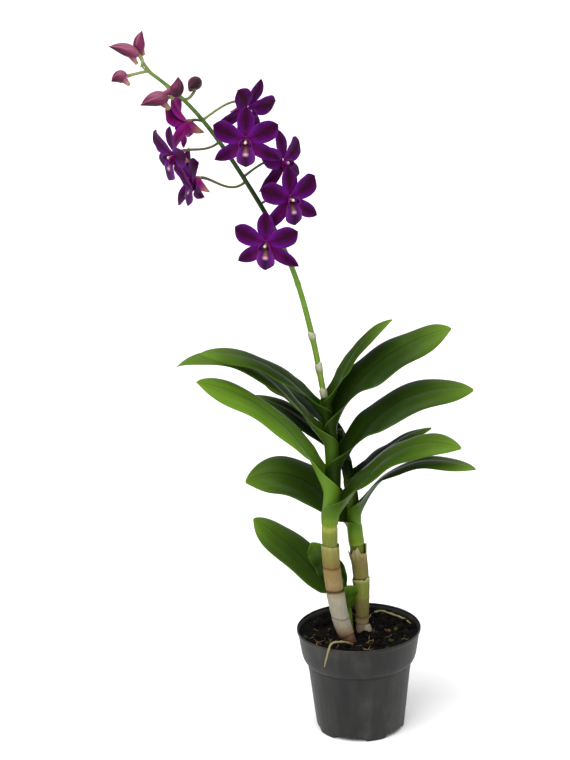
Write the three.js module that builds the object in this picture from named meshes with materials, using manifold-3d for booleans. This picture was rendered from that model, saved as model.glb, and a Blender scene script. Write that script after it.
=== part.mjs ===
// A dendrobium orchid in bloom, growing in a thin plastic nursery pot.
// Millimetres, +Z up. The origin is the middle of the pot's base and -Y is the front.
import * as THREE from 'three';
import { mergeVertices } from 'three/addons/utils/BufferGeometryUtils.js';
import Module from 'manifold-3d';

// ---- Driving dimensions ----
const clearance = 0.3; // between pieces that touch
const sliver = 0.05; // joints finer than this are smoothed away

const rimRadius = 60;
const rimBevel = 0.4;
const potHeight = 103;
const potWall = 1.2;
const lipHeight = 3;
// Outer [z, radius] of the pot from its base over the stacking shoulder to just under the lip.
const potOutline = [[0, 42.5], [66, 50], [74, 54], [potHeight - lipHeight, 58.4]];
const potSides = 32;
const floorHeight = 4;
const floorThickness = 1.6;
const centrePadRadius = 12;
const footDepth = 5;
const footCount = 5;
const footGapWidth = 32;
const footGapHeight = 3.8;
const firstFootGap = -107; // degrees round the pot

const soilTop = 95;
const soilRelief = 2.2;
const chipCount = 12;

const sheathHeight = 8;
const sheathWall = 0.7;
const collarFlare = 0.8;
const bladeThickness = 0.8;
const bladeSteps = 7;
const bladeCells = 4; // across the blade
const bladeHump = 0.5; // how far each half rises beside the midrib

const pedicelRadius = 1.1;
const tepalThickness = 0.7;
const rootRadius = 1;

// Each cane is a line of [x, y, z] points with [z, radius] pairs of its bare stem.
const canes = {
  front: {
    points: [[-5, -19, 84], [-16, -14, 112], [-22, -12.5, 144], [-25, -12, 170], [-26, -12, 214],
      [-22, -12, 258], [-23, -11.5, 300], [-28, -9, 341]],
    radii: [[84, 6.4], [112, 7.3], [144, 7.6], [214, 7.5], [258, 6.6], [304, 5.2], [341, 3.9]],
  },
  back: {
    points: [[2, 8, 84], [4, 9, 115], [3, 11, 157], [-1, 13, 193], [-4, 15, 235], [-14, 16, 300]],
    radii: [[84, 5.2], [115, 5.6], [134, 6.4], [157, 6.9], [186, 7.2], [204, 5.8], [247, 4.8], [300, 3.4]],
  },
  young: {
    points: [[-8, 9, 86], [-13, 8.5, 125], [-20, 8, 175]],
    radii: [[86, 3.8], [110, 4.2], [140, 3.6], [175, 2.4]],
  },
};

// Leaves stand in two ranks. Headings turn from +X towards +Y; rise and droop are the slopes of the
// blade at its two ends and bend says how late it arches over; all angles are in degrees.
const leaves = [
  { name: 'leaf_front_right_1', cane: 'front', z: 222, heading: -19, sweep: -10, rise: 59, droop: -16,
    bend: 1.9, roll: 25, rollTip: 18, length: 163, width: 39 },
  { name: 'leaf_front_left_1', cane: 'front', z: 243, heading: 187, sweep: 28, rise: 80, droop: 19,
    bend: 0.8, roll: -19, rollTip: -33, length: 192, width: 41 },
  { name: 'leaf_front_right_2', cane: 'front', z: 268, heading: -4, sweep: 5, rise: 66, droop: -15,
    bend: 1.3, roll: 31, rollTip: 20, length: 162, width: 42 },
  { name: 'leaf_front_left_2', cane: 'front', z: 294, heading: 181, sweep: -14, rise: 57, droop: -45,
    bend: 2.4, roll: 3, rollTip: -2, length: 180, width: 36 },
  { name: 'leaf_front_right_3', cane: 'front', z: 307, heading: 4, sweep: -11, rise: 83, droop: 13,
    bend: 0.7, roll: 36, rollTip: 23, length: 156, width: 43 },
  { name: 'leaf_front_left_3', cane: 'front', z: 320, heading: 190, sweep: 19, rise: 60, droop: 2,
    bend: 1.2, roll: -17, rollTip: -12, length: 150, width: 34 },
  { name: 'leaf_front_right_4', cane: 'front', z: 333, heading: 7, sweep: -12, rise: 72, droop: 24,
    bend: 1.7, roll: 22, rollTip: 10, length: 104, width: 22 },
  { name: 'leaf_back_right_1', cane: 'back', z: 210, heading: -27, sweep: -5, rise: 73, droop: -16,
    bend: 1, roll: 10, rollTip: -8, length: 156, width: 39 },
  { name: 'leaf_back_left_1', cane: 'back', z: 200, heading: 173, sweep: -4, rise: 62, droop: -41,
    bend: 1.6, roll: -31, rollTip: -44, length: 124, width: 43 },
  { name: 'leaf_back_right_2', cane: 'back', z: 246, heading: 7, sweep: -22, rise: 52, droop: 15,
    bend: 1.4, roll: 5, rollTip: -6, length: 93, width: 32 },
  { name: 'leaf_back_left_2', cane: 'back', z: 266, heading: 176, sweep: 0, rise: 61, droop: 11,
    bend: 1.2, roll: -14, rollTip: -10, length: 112, width: 32 },
  { name: 'leaf_back_left_3', cane: 'back', z: 290, heading: 166, sweep: 0, rise: 62, droop: 8,
    bend: 1.2, roll: -10, rollTip: -8, length: 96, width: 30 },
  { name: 'leaf_young_left_1', cane: 'young', z: 130, heading: 166, sweep: 3, rise: 50, droop: 32,
    bend: 1.5, roll: -41, rollTip: -25, length: 113, width: 38 },
  { name: 'leaf_young_left_2', cane: 'young', z: 152, heading: 188, sweep: 0, rise: 72, droop: 20,
    bend: 1.2, roll: -35, rollTip: -35, length: 50, width: 26 },
  { name: 'leaf_young_right_1', cane: 'young', z: 118, heading: -75, sweep: 0, rise: 88, droop: 80,
    bend: 1.5, roll: 10, rollTip: 10, length: 32, width: 12 },
];

// Dry, papery sheaths left round the bare lower joints of the canes.
const drySheaths = [
  { name: 'dry_sheath_front_low', cane: 'front', from: 101, to: 143, torn: 1.5 },
  { name: 'dry_sheath_front_high', cane: 'front', from: 145, to: 190, torn: 5 },
  { name: 'dry_sheath_back_low', cane: 'back', from: 104, to: 146, torn: 2 },
  { name: 'dry_sheath_back_high', cane: 'back', from: 148, to: 174, torn: 6 },
];

// The flower stem leaves the top of the front cane and arches to the left.
const stemPoints = [[-28.2, -8.9, 341.4], [-38, -8, 400], [-52, -8, 458], [-69.5, -9, 503], [-96, -10, 553],
  [-123, -12, 597], [-144, -15, 625], [-166, -18, 647], [-188, -20, 665]];
const stemRadii = [[341, 2.9], [400, 2.8], [520, 2.3], [620, 1.9], [665, 1.6]];
const bractHeights = [342, 366, 398];

// centre is the flower's heart; heading and tilt give the way it faces, spin its turn about that line.
// cup folds its sepals and petals forward, flare turns their tips back again; petals and sepals are
// the directions of its two petals and two side sepals. stemAt is the height at which its stalk
// leaves the flower stem and sag lowers the stalk's middle.
const blooms = [
  { name: 'bloom_1', centre: [-78, -36, 500.5], heading: -104, tilt: -10, spin: 2, cup: -12, flare: 2,
    petals: [25, 155], sepals: [-37, 215], stemAt: 498 },
  { name: 'bloom_2', centre: [-56, -18, 537], heading: -62, tilt: 2, spin: -1, cup: -5, flare: -4,
    petals: [33, 155], sepals: [-32, 222], stemAt: 530 },
  { name: 'bloom_3', centre: [-62, 2, 566.5], heading: -37, tilt: 4, spin: -1, cup: -8, flare: -5,
    petals: [29, 157], sepals: [-26, 212], stemAt: 556 },
  { name: 'bloom_4', centre: [-93.5, -44, 599.5], heading: -96, tilt: -8, spin: 2, cup: -12, flare: 0,
    petals: [28, 157], sepals: [-30, 214], stemAt: 578 },
  { name: 'bloom_5', centre: [-93.5, 8, 617], heading: -46, tilt: -18, spin: 17, cup: 1, flare: 2,
    petals: [24, 147], sepals: [-29, 211], stemAt: 611 },
  { name: 'bloom_6', centre: [-148.5, 8, 604.5], heading: 165, tilt: -8, spin: 10, cup: 22, flare: -14,
    petals: [56, 150], sepals: [-12, 214], stemAt: 600 },
  { name: 'bloom_7', centre: [-158, -42, 586.5], heading: -150, tilt: -9, spin: 14, cup: 2, flare: 0,
    petals: [26, 157], sepals: [-32, 208], stemAt: 590, sag: 8 },
  { name: 'bloom_8', centre: [-141.5, -17, 557], heading: -155, tilt: 8, spin: -12, cup: 22, flare: -16,
    petals: [32, 130], sepals: [-22, 218], stemAt: 552, sag: 16 },
];

// A bud runs from base to tip, and its spur points along spur.
const buds = [
  { name: 'bud_1', base: [-188.5, -21, 674], tip: [-214, -23, 684], spur: [0.1, 0, -1],
    width: 12, stemAt: 663 },
  { name: 'bud_2', base: [-187, -16, 675], tip: [-185, -14, 695], spur: [1, 0, -0.3],
    width: 11, stemAt: 656 },
  { name: 'bud_3', base: [-199, -30, 657], tip: [-213, -33, 654], spur: [0.5, -0.6, -1],
    width: 12, stemAt: 659 },
  { name: 'bud_4', base: [-163, -24, 635], tip: [-188, -30, 631], spur: [0.3, 0, -1],
    width: 14, stemAt: 646 },
  { name: 'bud_5', base: [-158, -36, 639], tip: [-152, -31, 655], spur: [-1, 0, 0.1],
    width: 13, stemAt: 640 },
  { name: 'bud_6', base: [-137, 5, 642], tip: [-144, -16, 642], spur: [-0.8, -0.3, -0.8],
    width: 13, stemAt: 624, sag: 24 },
];

const frontRoot = [[-8, -29, 99], [-12, -38, 100], [-21, -47, 103.4], [-27, -52.6, 105.2], [-30, -55.5, 104.6],
  [-32, -57, 101], [-34, -57.2, 92]];
const rightRoot = [[10, 30, 95.5], [14, 43, 96], [22, 46.5, 96.3], [32, 38, 96.4], [44, 25, 96.3],
  [51, 12, 96]];

// ---- Small tools ----
const degrees = Math.PI / 180;
const wasm = await Module();
wasm.setup();

const vector = ([x, y, z]) => new THREE.Vector3(x, y, z);

// A repeatable stream of numbers from 0 to 1.
function randomFrom(seed) {
  let state = seed;
  return () => {
    state = (state * 1664525 + 1013904223) % 4294967296;
    return state / 4294967296;
  };
}

// Value at x on straight lines through [x, value] pairs.
function between(pairs, x) {
  const next = pairs.findIndex((pair) => pair[0] >= x);
  if (next === 0) return pairs[0][1];
  if (next < 0) return pairs[pairs.length - 1][1];
  const [x0, v0] = pairs[next - 1];
  const [x1, v1] = pairs[next];
  return v0 + ((v1 - v0) * (x - x0)) / (x1 - x0);
}

function solidOf(geometry) {
  const bare = geometry.clone();
  bare.deleteAttribute('normal');
  bare.deleteAttribute('uv');
  const merged = mergeVertices(bare, 1e-4);
  const vertProperties = new Float32Array(merged.attributes.position.array);
  const triVerts = new Uint32Array(merged.index.array);
  return new wasm.Manifold(new wasm.Mesh({ numProp: 3, vertProperties, triVerts }));
}

function geometryOf(solid) {
  const mesh = solid.simplify(sliver).getMesh();
  const geometry = new THREE.BufferGeometry();
  geometry.setAttribute('position', new THREE.BufferAttribute(mesh.vertProperties, 3));
  geometry.setIndex(new THREE.BufferAttribute(mesh.triVerts, 1));
  return geometry;
}

const joined = (solids) => solids.reduce((all, one) => all.add(one));
const cutBy = (solid, cutters) => cutters.reduce((left, cutter) => left.subtract(cutter), solid);

// The largest body of a solid, without the scraps that a cut leaves loose.
function mainBody(solid) {
  return solid.decompose().reduce((best, one) => (one.volume() > best.volume() ? one : best));
}

function surface(points, index) {
  const geometry = new THREE.BufferGeometry().setFromPoints(points);
  geometry.setIndex(index);
  return geometry;
}

// A closed skin over rings of equal point count, each ring counter-clockwise seen from the last one.
function loft(rings) {
  const count = rings[0].length;
  const points = rings.flat();
  const index = [];
  for (let i = 0; i < rings.length - 1; i += 1) {
    for (let j = 0; j < count; j += 1) {
      const a = i * count + j;
      const b = i * count + ((j + 1) % count);
      index.push(a, b, b + count, a, b + count, a + count);
    }
  }
  const middle = (ring) => ring.reduce((sum, p) => sum.add(p), new THREE.Vector3()).divideScalar(count);
  const last = (rings.length - 1) * count;
  points.push(middle(rings[0]), middle(rings[rings.length - 1]));
  for (let j = 0; j < count; j += 1) {
    const k = (j + 1) % count;
    index.push(rings.length * count, k, j, rings.length * count + 1, last + j, last + k);
  }
  return surface(points, index);
}

// Rings square to a curve between two of its parameters; radiusAt gets the ring's middle and share.
function ringsAlong(curve, radiusAt, steps, sides, from = 0, to = 1) {
  const rings = [];
  for (let i = 0; i <= steps; i += 1) {
    const share = i / steps;
    const t = from + (to - from) * share;
    const middle = curve.getPoint(t);
    const tangent = curve.getTangent(t);
    const side = new THREE.Vector3(1, 0, 0).cross(tangent).normalize();
    const other = tangent.clone().cross(side);
    const radius = radiusAt(middle, share);
    const ring = [];
    for (let j = 0; j < sides; j += 1) {
      const angle = (2 * Math.PI * j) / sides;
      ring.push(middle.clone()
        .addScaledVector(side, radius * Math.cos(angle))
        .addScaledVector(other, radius * Math.sin(angle)));
    }
    rings.push(ring);
  }
  return rings;
}

const taperedTube = (...args) => loft(ringsAlong(...args));

function roundTube(extrudePath, radius, steps, sides) {
  const section = new THREE.Shape();
  for (let j = 0; j < sides; j += 1) {
    const angle = (2 * Math.PI * j) / sides;
    const [x, y] = [radius * Math.cos(angle), radius * Math.sin(angle)];
    if (j === 0) section.moveTo(x, y);
    else section.lineTo(x, y);
  }
  return new THREE.ExtrudeGeometry(section, { steps, extrudePath });
}

// Parameter at which a climbing curve reaches a height.
function atHeight(curve, z) {
  let low = 0;
  let high = 1;
  for (let i = 0; i < 24; i += 1) {
    const t = (low + high) / 2;
    if (curve.getPoint(t).z < z) low = t;
    else high = t;
  }
  return (low + high) / 2;
}

// ---- Blades: one form for leaves, sepals, petals and lip ----
// Half width as a share: foot at the base, full at widest, closing at the tip.
function bladeShare(blade, t) {
  if (t < blade.widest) {
    return blade.foot + (1 - blade.foot) * Math.sin((0.5 * Math.PI * t) / blade.widest);
  }
  const past = (t - blade.widest) / (1 - blade.widest);
  return Math.max(blade.tipShare, Math.max(0, Math.cos(0.5 * Math.PI * past ** blade.blunt)) ** 0.8);
}

// Middle line and frames of a blade: along it, to its left side, and out of its face.
function bladeSpine(blade, steps) {
  const fine = 4;
  const placeAt = (i) => 1 - (1 - Math.min(1, i / (steps * fine))) ** 1.4; // closer set towards the tip
  const point = blade.base.clone();
  const stations = [];
  for (let i = 0; i <= steps * fine; i += 1) {
    const t = placeAt(i);
    const slope = (blade.rise + (blade.droop - blade.rise) * t ** blade.bend) * degrees;
    const heading = (blade.heading + blade.sweep * t) * degrees;
    const roll = (blade.roll + (blade.rollTip - blade.roll) * t) * degrees;
    const along = new THREE.Vector3(
      Math.cos(slope) * Math.cos(heading), Math.cos(slope) * Math.sin(heading), Math.sin(slope));
    const level = new THREE.Vector3(-Math.sin(heading), Math.cos(heading), 0);
    const upper = along.clone().cross(level);
    const left = level.clone().multiplyScalar(Math.cos(roll)).addScaledVector(upper, Math.sin(roll));
    const face = along.clone().cross(left);
    if (i % fine === 0) stations.push({ t, point: point.clone(), left, face });
    point.addScaledVector(along, blade.length * (placeAt(i + 1) - t));
  }
  return stations;
}

// A thin closed blade, its section curled into an arc and humped on both sides of the midrib.
function bladeGeometry(blade, steps, cells, thickness) {
  const top = [];
  const bottom = [];
  for (const { t, point, left, face } of bladeSpine(blade, steps)) {
    const half = (blade.width / 2) * bladeShare(blade, t);
    const easing = (1 - t) ** 2;
    const curl = blade.curl * easing + blade.curlTip * (1 - easing) + 1e-3;
    for (let j = 0; j <= cells; j += 1) {
      const s = 1 - (2 * j) / cells;
      const sideways = (half * Math.sin(curl * s)) / curl;
      const hump = blade.hump * half * Math.abs(s) * (1 - Math.abs(s));
      const lift = (half * (1 - Math.cos(curl * s))) / curl + hump;
      const normal = face.clone().multiplyScalar(Math.cos(curl * s)).addScaledVector(left, -Math.sin(curl * s));
      const middle = point.clone().addScaledVector(left, sideways).addScaledVector(face, lift);
      top.push(middle.clone().addScaledVector(normal, thickness / 2));
      bottom.push(middle.addScaledVector(normal, -thickness / 2));
    }
  }
  const row = cells + 1;
  const under = top.length;
  const index = [];
  const quad = (a, b, c, d) => index.push(a, b, c, a, c, d);
  for (let i = 0; i < steps; i += 1) {
    for (let j = 0; j < cells; j += 1) {
      const a = i * row + j;
      index.push(a, a + 1, a + row + 1, a, a + row + 1, a + row);
      index.push(under + a, under + a + row + 1, under + a + 1);
      index.push(under + a, under + a + row, under + a + row + 1);
    }
    const a = i * row;
    const b = a + cells;
    quad(a, a + row, under + a + row, under + a);
    quad(b, under + b, under + b + row, b + row);
  }
  for (let j = 0; j < cells; j += 1) {
    const e = steps * row + j;
    quad(j, under + j, under + j + 1, j + 1);
    quad(e, e + 1, under + e + 1, under + e);
  }
  return surface([...top, ...bottom], index);
}

// ---- Pot ----
const outerRadius = (z) => between(potOutline, z);
const floorTop = floorHeight + floorThickness;

function potGeometry() {
  const baseRadius = outerRadius(0);
  const footInner = baseRadius - footDepth;
  const outside = potOutline.map(([z, r]) => [r, z]);
  const inside = potOutline.slice(1).map(([z, r]) => [r - potWall, z]).reverse();
  const profile = [
    [0, 0], [centrePadRadius, 0], [centrePadRadius + 1, floorHeight], [footInner - 1, floorHeight],
    [footInner, 0], ...outside, [rimRadius, potHeight - lipHeight + rimBevel], [rimRadius, potHeight],
    [rimRadius - potWall, potHeight], ...inside, [outerRadius(floorTop) - potWall, floorTop], [0, floorTop],
  ].map(([r, z]) => new THREE.Vector2(r, z));
  const lathe = new THREE.LatheGeometry(profile, potSides);
  lathe.rotateX(Math.PI / 2);
  const cutters = [];
  for (let i = 0; i < footCount; i += 1) {
    const turn = (firstFootGap + (360 / footCount) * i) * degrees;
    const notch = new THREE.BoxGeometry(2 * footDepth + 2, footGapWidth, 2 * footGapHeight);
    notch.translate(baseRadius, 0, 0);
    const slot = new THREE.BoxGeometry(4, 16, 8);
    slot.translate(footInner - 2, 0, floorTop - 1);
    for (const cutter of [notch, slot]) cutters.push(solidOf(cutter.rotateZ(turn)));
  }
  return geometryOf(cutBy(solidOf(lathe), cutters));
}

// ---- Canes and what clasps them ----
const caneCurves = {};
for (const [name, cane] of Object.entries(canes)) {
  caneCurves[name] = new THREE.CatmullRomCurve3(cane.points.map(vector));
}

const caneSides = 8;
const caneSteps = 14;

// A whole cane, or its stretch between two heights, grown by extra and widened by flare at the top.
function caneTube(name, extra, steps = caneSteps, heights = null, flare = 0) {
  const curve = caneCurves[name];
  const [from, to] = heights ? heights.map((z) => atHeight(curve, z)) : [0, 1];
  const radiusAt = (middle, share) => between(canes[name].radii, middle.z) + extra + flare * share;
  return taperedTube(curve, radiusAt, steps, caneSides, from, to);
}

// The short tube by which a leaf clasps its cane, grown by extra and still filled.
function leafSheath(leaf, extra) {
  const heights = [leaf.z - sheathHeight - extra, leaf.z + 1.5 + extra];
  return solidOf(caneTube(leaf.cane, clearance + sheathWall + extra, 1, heights, collarFlare));
}

// A stretch of cane with its clearance, to hollow what clasps it there.
function caneCore(name, low, high) {
  return solidOf(caneTube(name, clearance, 1, [low - 0.5, high + 0.5]));
}

function leafBlade(leaf) {
  const curve = caneCurves[leaf.cane];
  const middle = curve.getPoint(atHeight(curve, leaf.z));
  const out = new THREE.Vector3(Math.cos(leaf.heading * degrees), Math.sin(leaf.heading * degrees), 0);
  const reach = between(canes[leaf.cane].radii, leaf.z) + clearance + sheathWall + 0.3;
  return {
    ...leaf, base: middle.addScaledVector(out, reach), hump: bladeHump,
    widest: 0.5, foot: 0.55, blunt: 2.4, tipShare: 0.08, curl: 1, curlTip: -0.5,
  };
}

function leafGeometry(leaf) {
  const blade = solidOf(bladeGeometry(leafBlade(leaf), bladeSteps, bladeCells, bladeThickness));
  const others = leaves.filter((other) => other !== leaf && other.cane === leaf.cane);
  const cutters = others.map((other) => leafSheath(other, clearance));
  const whole = leafSheath(leaf, 0).add(cutBy(blade, cutters));
  const core = caneCore(leaf.cane, leaf.z - sheathHeight, leaf.z + 12);
  return geometryOf(mainBody(whole.subtract(core)));
}

// A thin tube with a torn upper edge, open at both ends.
function drySheathGeometry(sheath) {
  const curve = caneCurves[sheath.cane];
  const radiusAt = (middle) => between(canes[sheath.cane].radii, middle.z) + clearance + sheathWall;
  const [from, to] = [sheath.from, sheath.to].map((z) => atHeight(curve, z));
  const rings = ringsAlong(curve, radiusAt, 3, caneSides, from, to);
  rings[rings.length - 1].forEach((point, j) => {
    point.z += sheath.torn * (Math.sin(j * 2.4) + 0.6 * Math.sin(j * 5.1)) * 0.6;
  });
  return geometryOf(mainBody(solidOf(loft(rings)).subtract(solidOf(caneTube(sheath.cane, clearance)))));
}

// ---- Soil ----
function soilGeometry() {
  const random = randomFrom(7);
  const ring = (radius, z, relief = 0) => Array.from({ length: potSides }, (_, j) => {
    const angle = (2 * Math.PI * j) / potSides;
    return new THREE.Vector3(radius * Math.cos(angle), radius * Math.sin(angle), z + relief * (random() - 0.5));
  });
  const inside = (z) => ring(outerRadius(z) - potWall - clearance, z);
  const [, [shoulderLow], [shoulderHigh]] = potOutline;
  const rings = [
    inside(floorTop + clearance), inside(shoulderLow), inside(shoulderHigh), inside(soilTop - 1.5),
    ...[46, 32, 18].map((radius) => ring(radius, soilTop, soilRelief)),
  ];
  const chips = [];
  for (let i = 0; i < chipCount; i += 1) {
    const angle = 2 * Math.PI * random();
    const radius = 50 * Math.sqrt(random());
    const chip = new THREE.BoxGeometry(7 + 7 * random(), 4 + 4 * random(), 3 + 2 * random());
    chip.rotateY((random() - 0.5) * 0.6);
    chip.rotateZ(2 * Math.PI * random());
    chip.translate(radius * Math.cos(angle), radius * Math.sin(angle), soilTop + 0.6);
    chips.push(solidOf(chip));
  }
  const planted = Object.keys(canes).map((name) => solidOf(caneTube(name, clearance)));
  const laid = [frontRoot, rightRoot].map((points) => solidOf(rootTube(points, rootRadius + clearance)));
  return geometryOf(mainBody(cutBy(joined([solidOf(loft(rings)), ...chips]), [...planted, ...laid])));
}

const rootTube = (points, radius) =>
  roundTube(new THREE.CatmullRomCurve3(points.map(vector)), radius, 10, 5);

// ---- Flower stem with its stalks ----
const stemCurve = new THREE.CatmullRomCurve3(stemPoints.map(vector));

function bloomFrame({ heading, tilt, spin, centre }) {
  const face = new THREE.Vector3(
    Math.cos(tilt * degrees) * Math.cos(heading * degrees),
    Math.cos(tilt * degrees) * Math.sin(heading * degrees), Math.sin(tilt * degrees));
  const level = new THREE.Vector3(-Math.sin(heading * degrees), Math.cos(heading * degrees), 0);
  const upright = face.clone().cross(level);
  const up = upright.multiplyScalar(Math.cos(spin * degrees)).addScaledVector(level, Math.sin(spin * degrees));
  return new THREE.Matrix4().makeBasis(up.clone().cross(face), up, face).setPosition(vector(centre));
}

const stalkJoint = new THREE.Vector3(0, 1.5, -6); // behind a bloom's heart

// A stalk leaves the stem, bends and meets its flower or bud head on.
function stalk(stemAt, joint, arrival, reach, sag = 0) {
  const start = stemCurve.getPoint(atHeight(stemCurve, stemAt));
  const end = joint.clone().addScaledVector(arrival, -clearance);
  const before = end.clone().addScaledVector(arrival, -reach);
  const middle = start.clone().lerp(before, 0.5);
  middle.z -= sag;
  const curve = new THREE.CubicBezierCurve3(start, middle, before, end);
  return solidOf(roundTube(curve, pedicelRadius, 5, 5));
}

function flowerStemGeometry() {
  const radiusAt = (middle) => between(stemRadii, middle.z);
  const parts = [solidOf(taperedTube(stemCurve, radiusAt, 20, 8))];
  for (const height of bractHeights) {
    const from = atHeight(stemCurve, height);
    const bractRadius = (middle, share) => radiusAt(middle) + 1.2 - 0.9 * share;
    parts.push(solidOf(taperedTube(stemCurve, bractRadius, 1, 8, from, from + 0.03)));
  }
  for (const bloom of blooms) {
    const frame = bloomFrame(bloom);
    const joint = stalkJoint.clone().applyMatrix4(frame);
    const face = new THREE.Vector3().setFromMatrixColumn(frame, 2);
    parts.push(stalk(bloom.stemAt, joint, face, 12, bloom.sag));
  }
  for (const bud of buds) {
    const base = vector(bud.base);
    parts.push(stalk(bud.stemAt, base, vector(bud.tip).sub(base).normalize(), 5, bud.sag));
  }
  return geometryOf(joined(parts));
}

// ---- Blooms ----
// In a bloom's own frame X is its right, Y the way its top sepal points and Z the way it faces.
const tepal = { sweep: 0, roll: 0, rollTip: 0, bend: 1, hump: 0, tipShare: 0.12, curl: 0.5, curlTip: 0.2 };
const top = { length: 28, width: 16, widest: 0.5, foot: 0.4, blunt: 1.7, rise: 20, droop: -12,
  base: [0, 2.8, -0.4], steps: 3, cells: 2 };
const petal = { length: 31, width: 20, widest: 0.56, foot: 0.3, blunt: 2.2, rise: 22, droop: -14,
  base: [1.6, 0.2, 1], steps: 4, cells: 2 };
const side = { length: 33, width: 14, widest: 0.42, foot: 0.5, blunt: 1.7, rise: 14, droop: -12,
  base: [2.2, -4.4, -1.6], steps: 3, cells: 2 };
const lip = { length: 22.5, width: 15, widest: 0.68, foot: 0.3, blunt: 2.6, rise: 50, droop: -18,
  base: [0, -4, 1], curl: 1.1, curlTip: -0.2, steps: 4, cells: 2 };
const lobe = { length: 10, width: 9, widest: 0.5, foot: 0.7, blunt: 2.2, rise: 72, droop: 60,
  base: [2, -2.4, 1], steps: 2, cells: 1 };

// The same blade on a bloom's other side.
const mirrored = ({ base: [x, y, z], ...blade }, heading) => ({ ...blade, heading, base: [-x, y, z] });

function bloomBlades({ cup, flare, petals, sepals }) {
  const folded = (blade) =>
    ({ ...blade, rise: blade.rise + cup, droop: blade.droop + cup / 2 + flare });
  return [
    { ...folded(top), heading: 90 },
    { ...folded(petal), heading: petals[0] }, mirrored(folded(petal), petals[1]),
    { ...folded(side), heading: sepals[0] }, mirrored(folded(side), sepals[1]),
    { ...lip, heading: -90 },
    { ...lobe, heading: 0 }, mirrored(lobe, 180),
  ];
}

function bloomSolid(bloom) {
  const blades = bloomBlades(bloom).map(({ base, steps, cells, ...blade }) =>
    solidOf(bladeGeometry({ ...tepal, ...blade, base: vector(base) }, steps, cells, tepalThickness)));
  const line = (...points) => new THREE.CatmullRomCurve3(points.map(vector));
  const neck = taperedTube(line([0, 1.5, -6], [0, 0.5, -0.5]), (_, share) => 1.3 + 1.2 * share, 1, 6);
  const swell = (_, share) => 1.4 + 3.2 * Math.sin(Math.PI * share ** 0.9) ** 0.8;
  const spurAndColumn = taperedTube(line([0, -10.5, -14], [0, -6.5, -7], [0, -1.8, -1], [0, -1, 8]), swell, 5, 6);
  return joined([...blades, solidOf(neck), solidOf(spurAndColumn)]);
}

// ---- Buds ----
function budGeometry(bud) {
  const base = vector(bud.base);
  const tip = vector(bud.tip);
  const line = new THREE.LineCurve3(base, tip);
  const swell = (share) => Math.sin(Math.PI * (0.12 + 0.84 * share) ** 0.85);
  const plump = (_, share) => (bud.width / 2) * Math.max(0.16, swell(share));
  const body = taperedTube(line, plump, 6, 7);
  const foot = line.getPoint(0.3);
  const spurEnd = line.getPoint(0.08).addScaledVector(vector(bud.spur).normalize(), bud.width * 0.75);
  const taper = (_, share) => bud.width * (0.36 - 0.22 * share);
  const spur = taperedTube(new THREE.LineCurve3(foot, spurEnd), taper, 1, 5);
  return geometryOf(solidOf(body).add(solidOf(spur)));
}

// ---- Assembly ----
const finish = (color, roughness) => new THREE.MeshStandardMaterial({ color, roughness, metalness: 0 });
const materials = {
  pot: finish(0x454543, 0.55),
  soil: finish(0x2a211b, 0.95),
  cane: finish(0x7d7f35, 0.5),
  dry: finish(0xb9ab8c, 0.8),
  leaf: finish(0x3f7a2c, 0.4),
  stem: finish(0x5d7c33, 0.5),
  petal: finish(0x6a1672, 0.55),
  bud: finish(0x7a4252, 0.55),
  root: finish(0xd8cf9a, 0.7),
};

const orchid = new THREE.Group();
function add(name, geometry, material) {
  const mesh = new THREE.Mesh(geometry, material);
  mesh.name = name;
  orchid.add(mesh);
}

add('pot', potGeometry(), materials.pot);
add('growing_medium', soilGeometry(), materials.soil);
for (const name of Object.keys(canes)) add(`cane_${name}`, caneTube(name, 0), materials.cane);
for (const sheath of drySheaths) add(sheath.name, drySheathGeometry(sheath), materials.dry);
for (const leaf of leaves) add(leaf.name, leafGeometry(leaf), materials.leaf);
add('flower_stem', flowerStemGeometry(), materials.stem);
for (const bloom of blooms) {
  add(bloom.name, geometryOf(bloomSolid(bloom)).applyMatrix4(bloomFrame(bloom)), materials.petal);
}
for (const bud of buds) add(bud.name, budGeometry(bud), materials.bud);
add('root_front', rootTube(frontRoot, rootRadius), materials.root);
add('root_right', rootTube(rightRoot, rootRadius), materials.root);

export default orchid;
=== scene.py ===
import math
import random
import bpy
from mathutils import Matrix, Vector, noise


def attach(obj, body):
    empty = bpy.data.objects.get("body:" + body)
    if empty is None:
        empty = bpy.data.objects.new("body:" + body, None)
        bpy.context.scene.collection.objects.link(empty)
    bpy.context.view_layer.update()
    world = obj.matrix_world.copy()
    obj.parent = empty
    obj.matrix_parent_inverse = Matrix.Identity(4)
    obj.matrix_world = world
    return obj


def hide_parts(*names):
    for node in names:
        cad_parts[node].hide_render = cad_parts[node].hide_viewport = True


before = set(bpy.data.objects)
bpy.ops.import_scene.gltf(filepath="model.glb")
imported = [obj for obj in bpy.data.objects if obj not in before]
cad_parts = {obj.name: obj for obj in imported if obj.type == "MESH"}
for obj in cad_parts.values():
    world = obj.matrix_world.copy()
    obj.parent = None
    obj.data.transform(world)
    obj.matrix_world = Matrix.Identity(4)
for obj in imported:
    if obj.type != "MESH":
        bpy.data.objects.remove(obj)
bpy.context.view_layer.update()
mm = 0.001
noise.seed_set(4)  # noise_vector would otherwise follow the clock
print("frame loaded:", len(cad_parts), "solids")


# Small tools

def makeActive(piece):
    bpy.ops.object.select_all(action="DESELECT")
    piece.select_set(True)
    bpy.context.view_layer.objects.active = piece


def newPiece(primitive, **settings):
    # adds a primitive at the origin, with nothing else selected
    bpy.ops.object.select_all(action="DESELECT")
    primitive(location=(0, 0, 0), **settings)
    return bpy.context.object


def finishWith(piece, kind, **settings):
    # gives a piece a modifier and applies it
    makeActive(piece)
    modifier = piece.modifiers.new(kind.lower(), kind)
    for setting, value in settings.items():
        setattr(modifier, setting, value)
    bpy.ops.object.modifier_apply(modifier=modifier.name)


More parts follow.
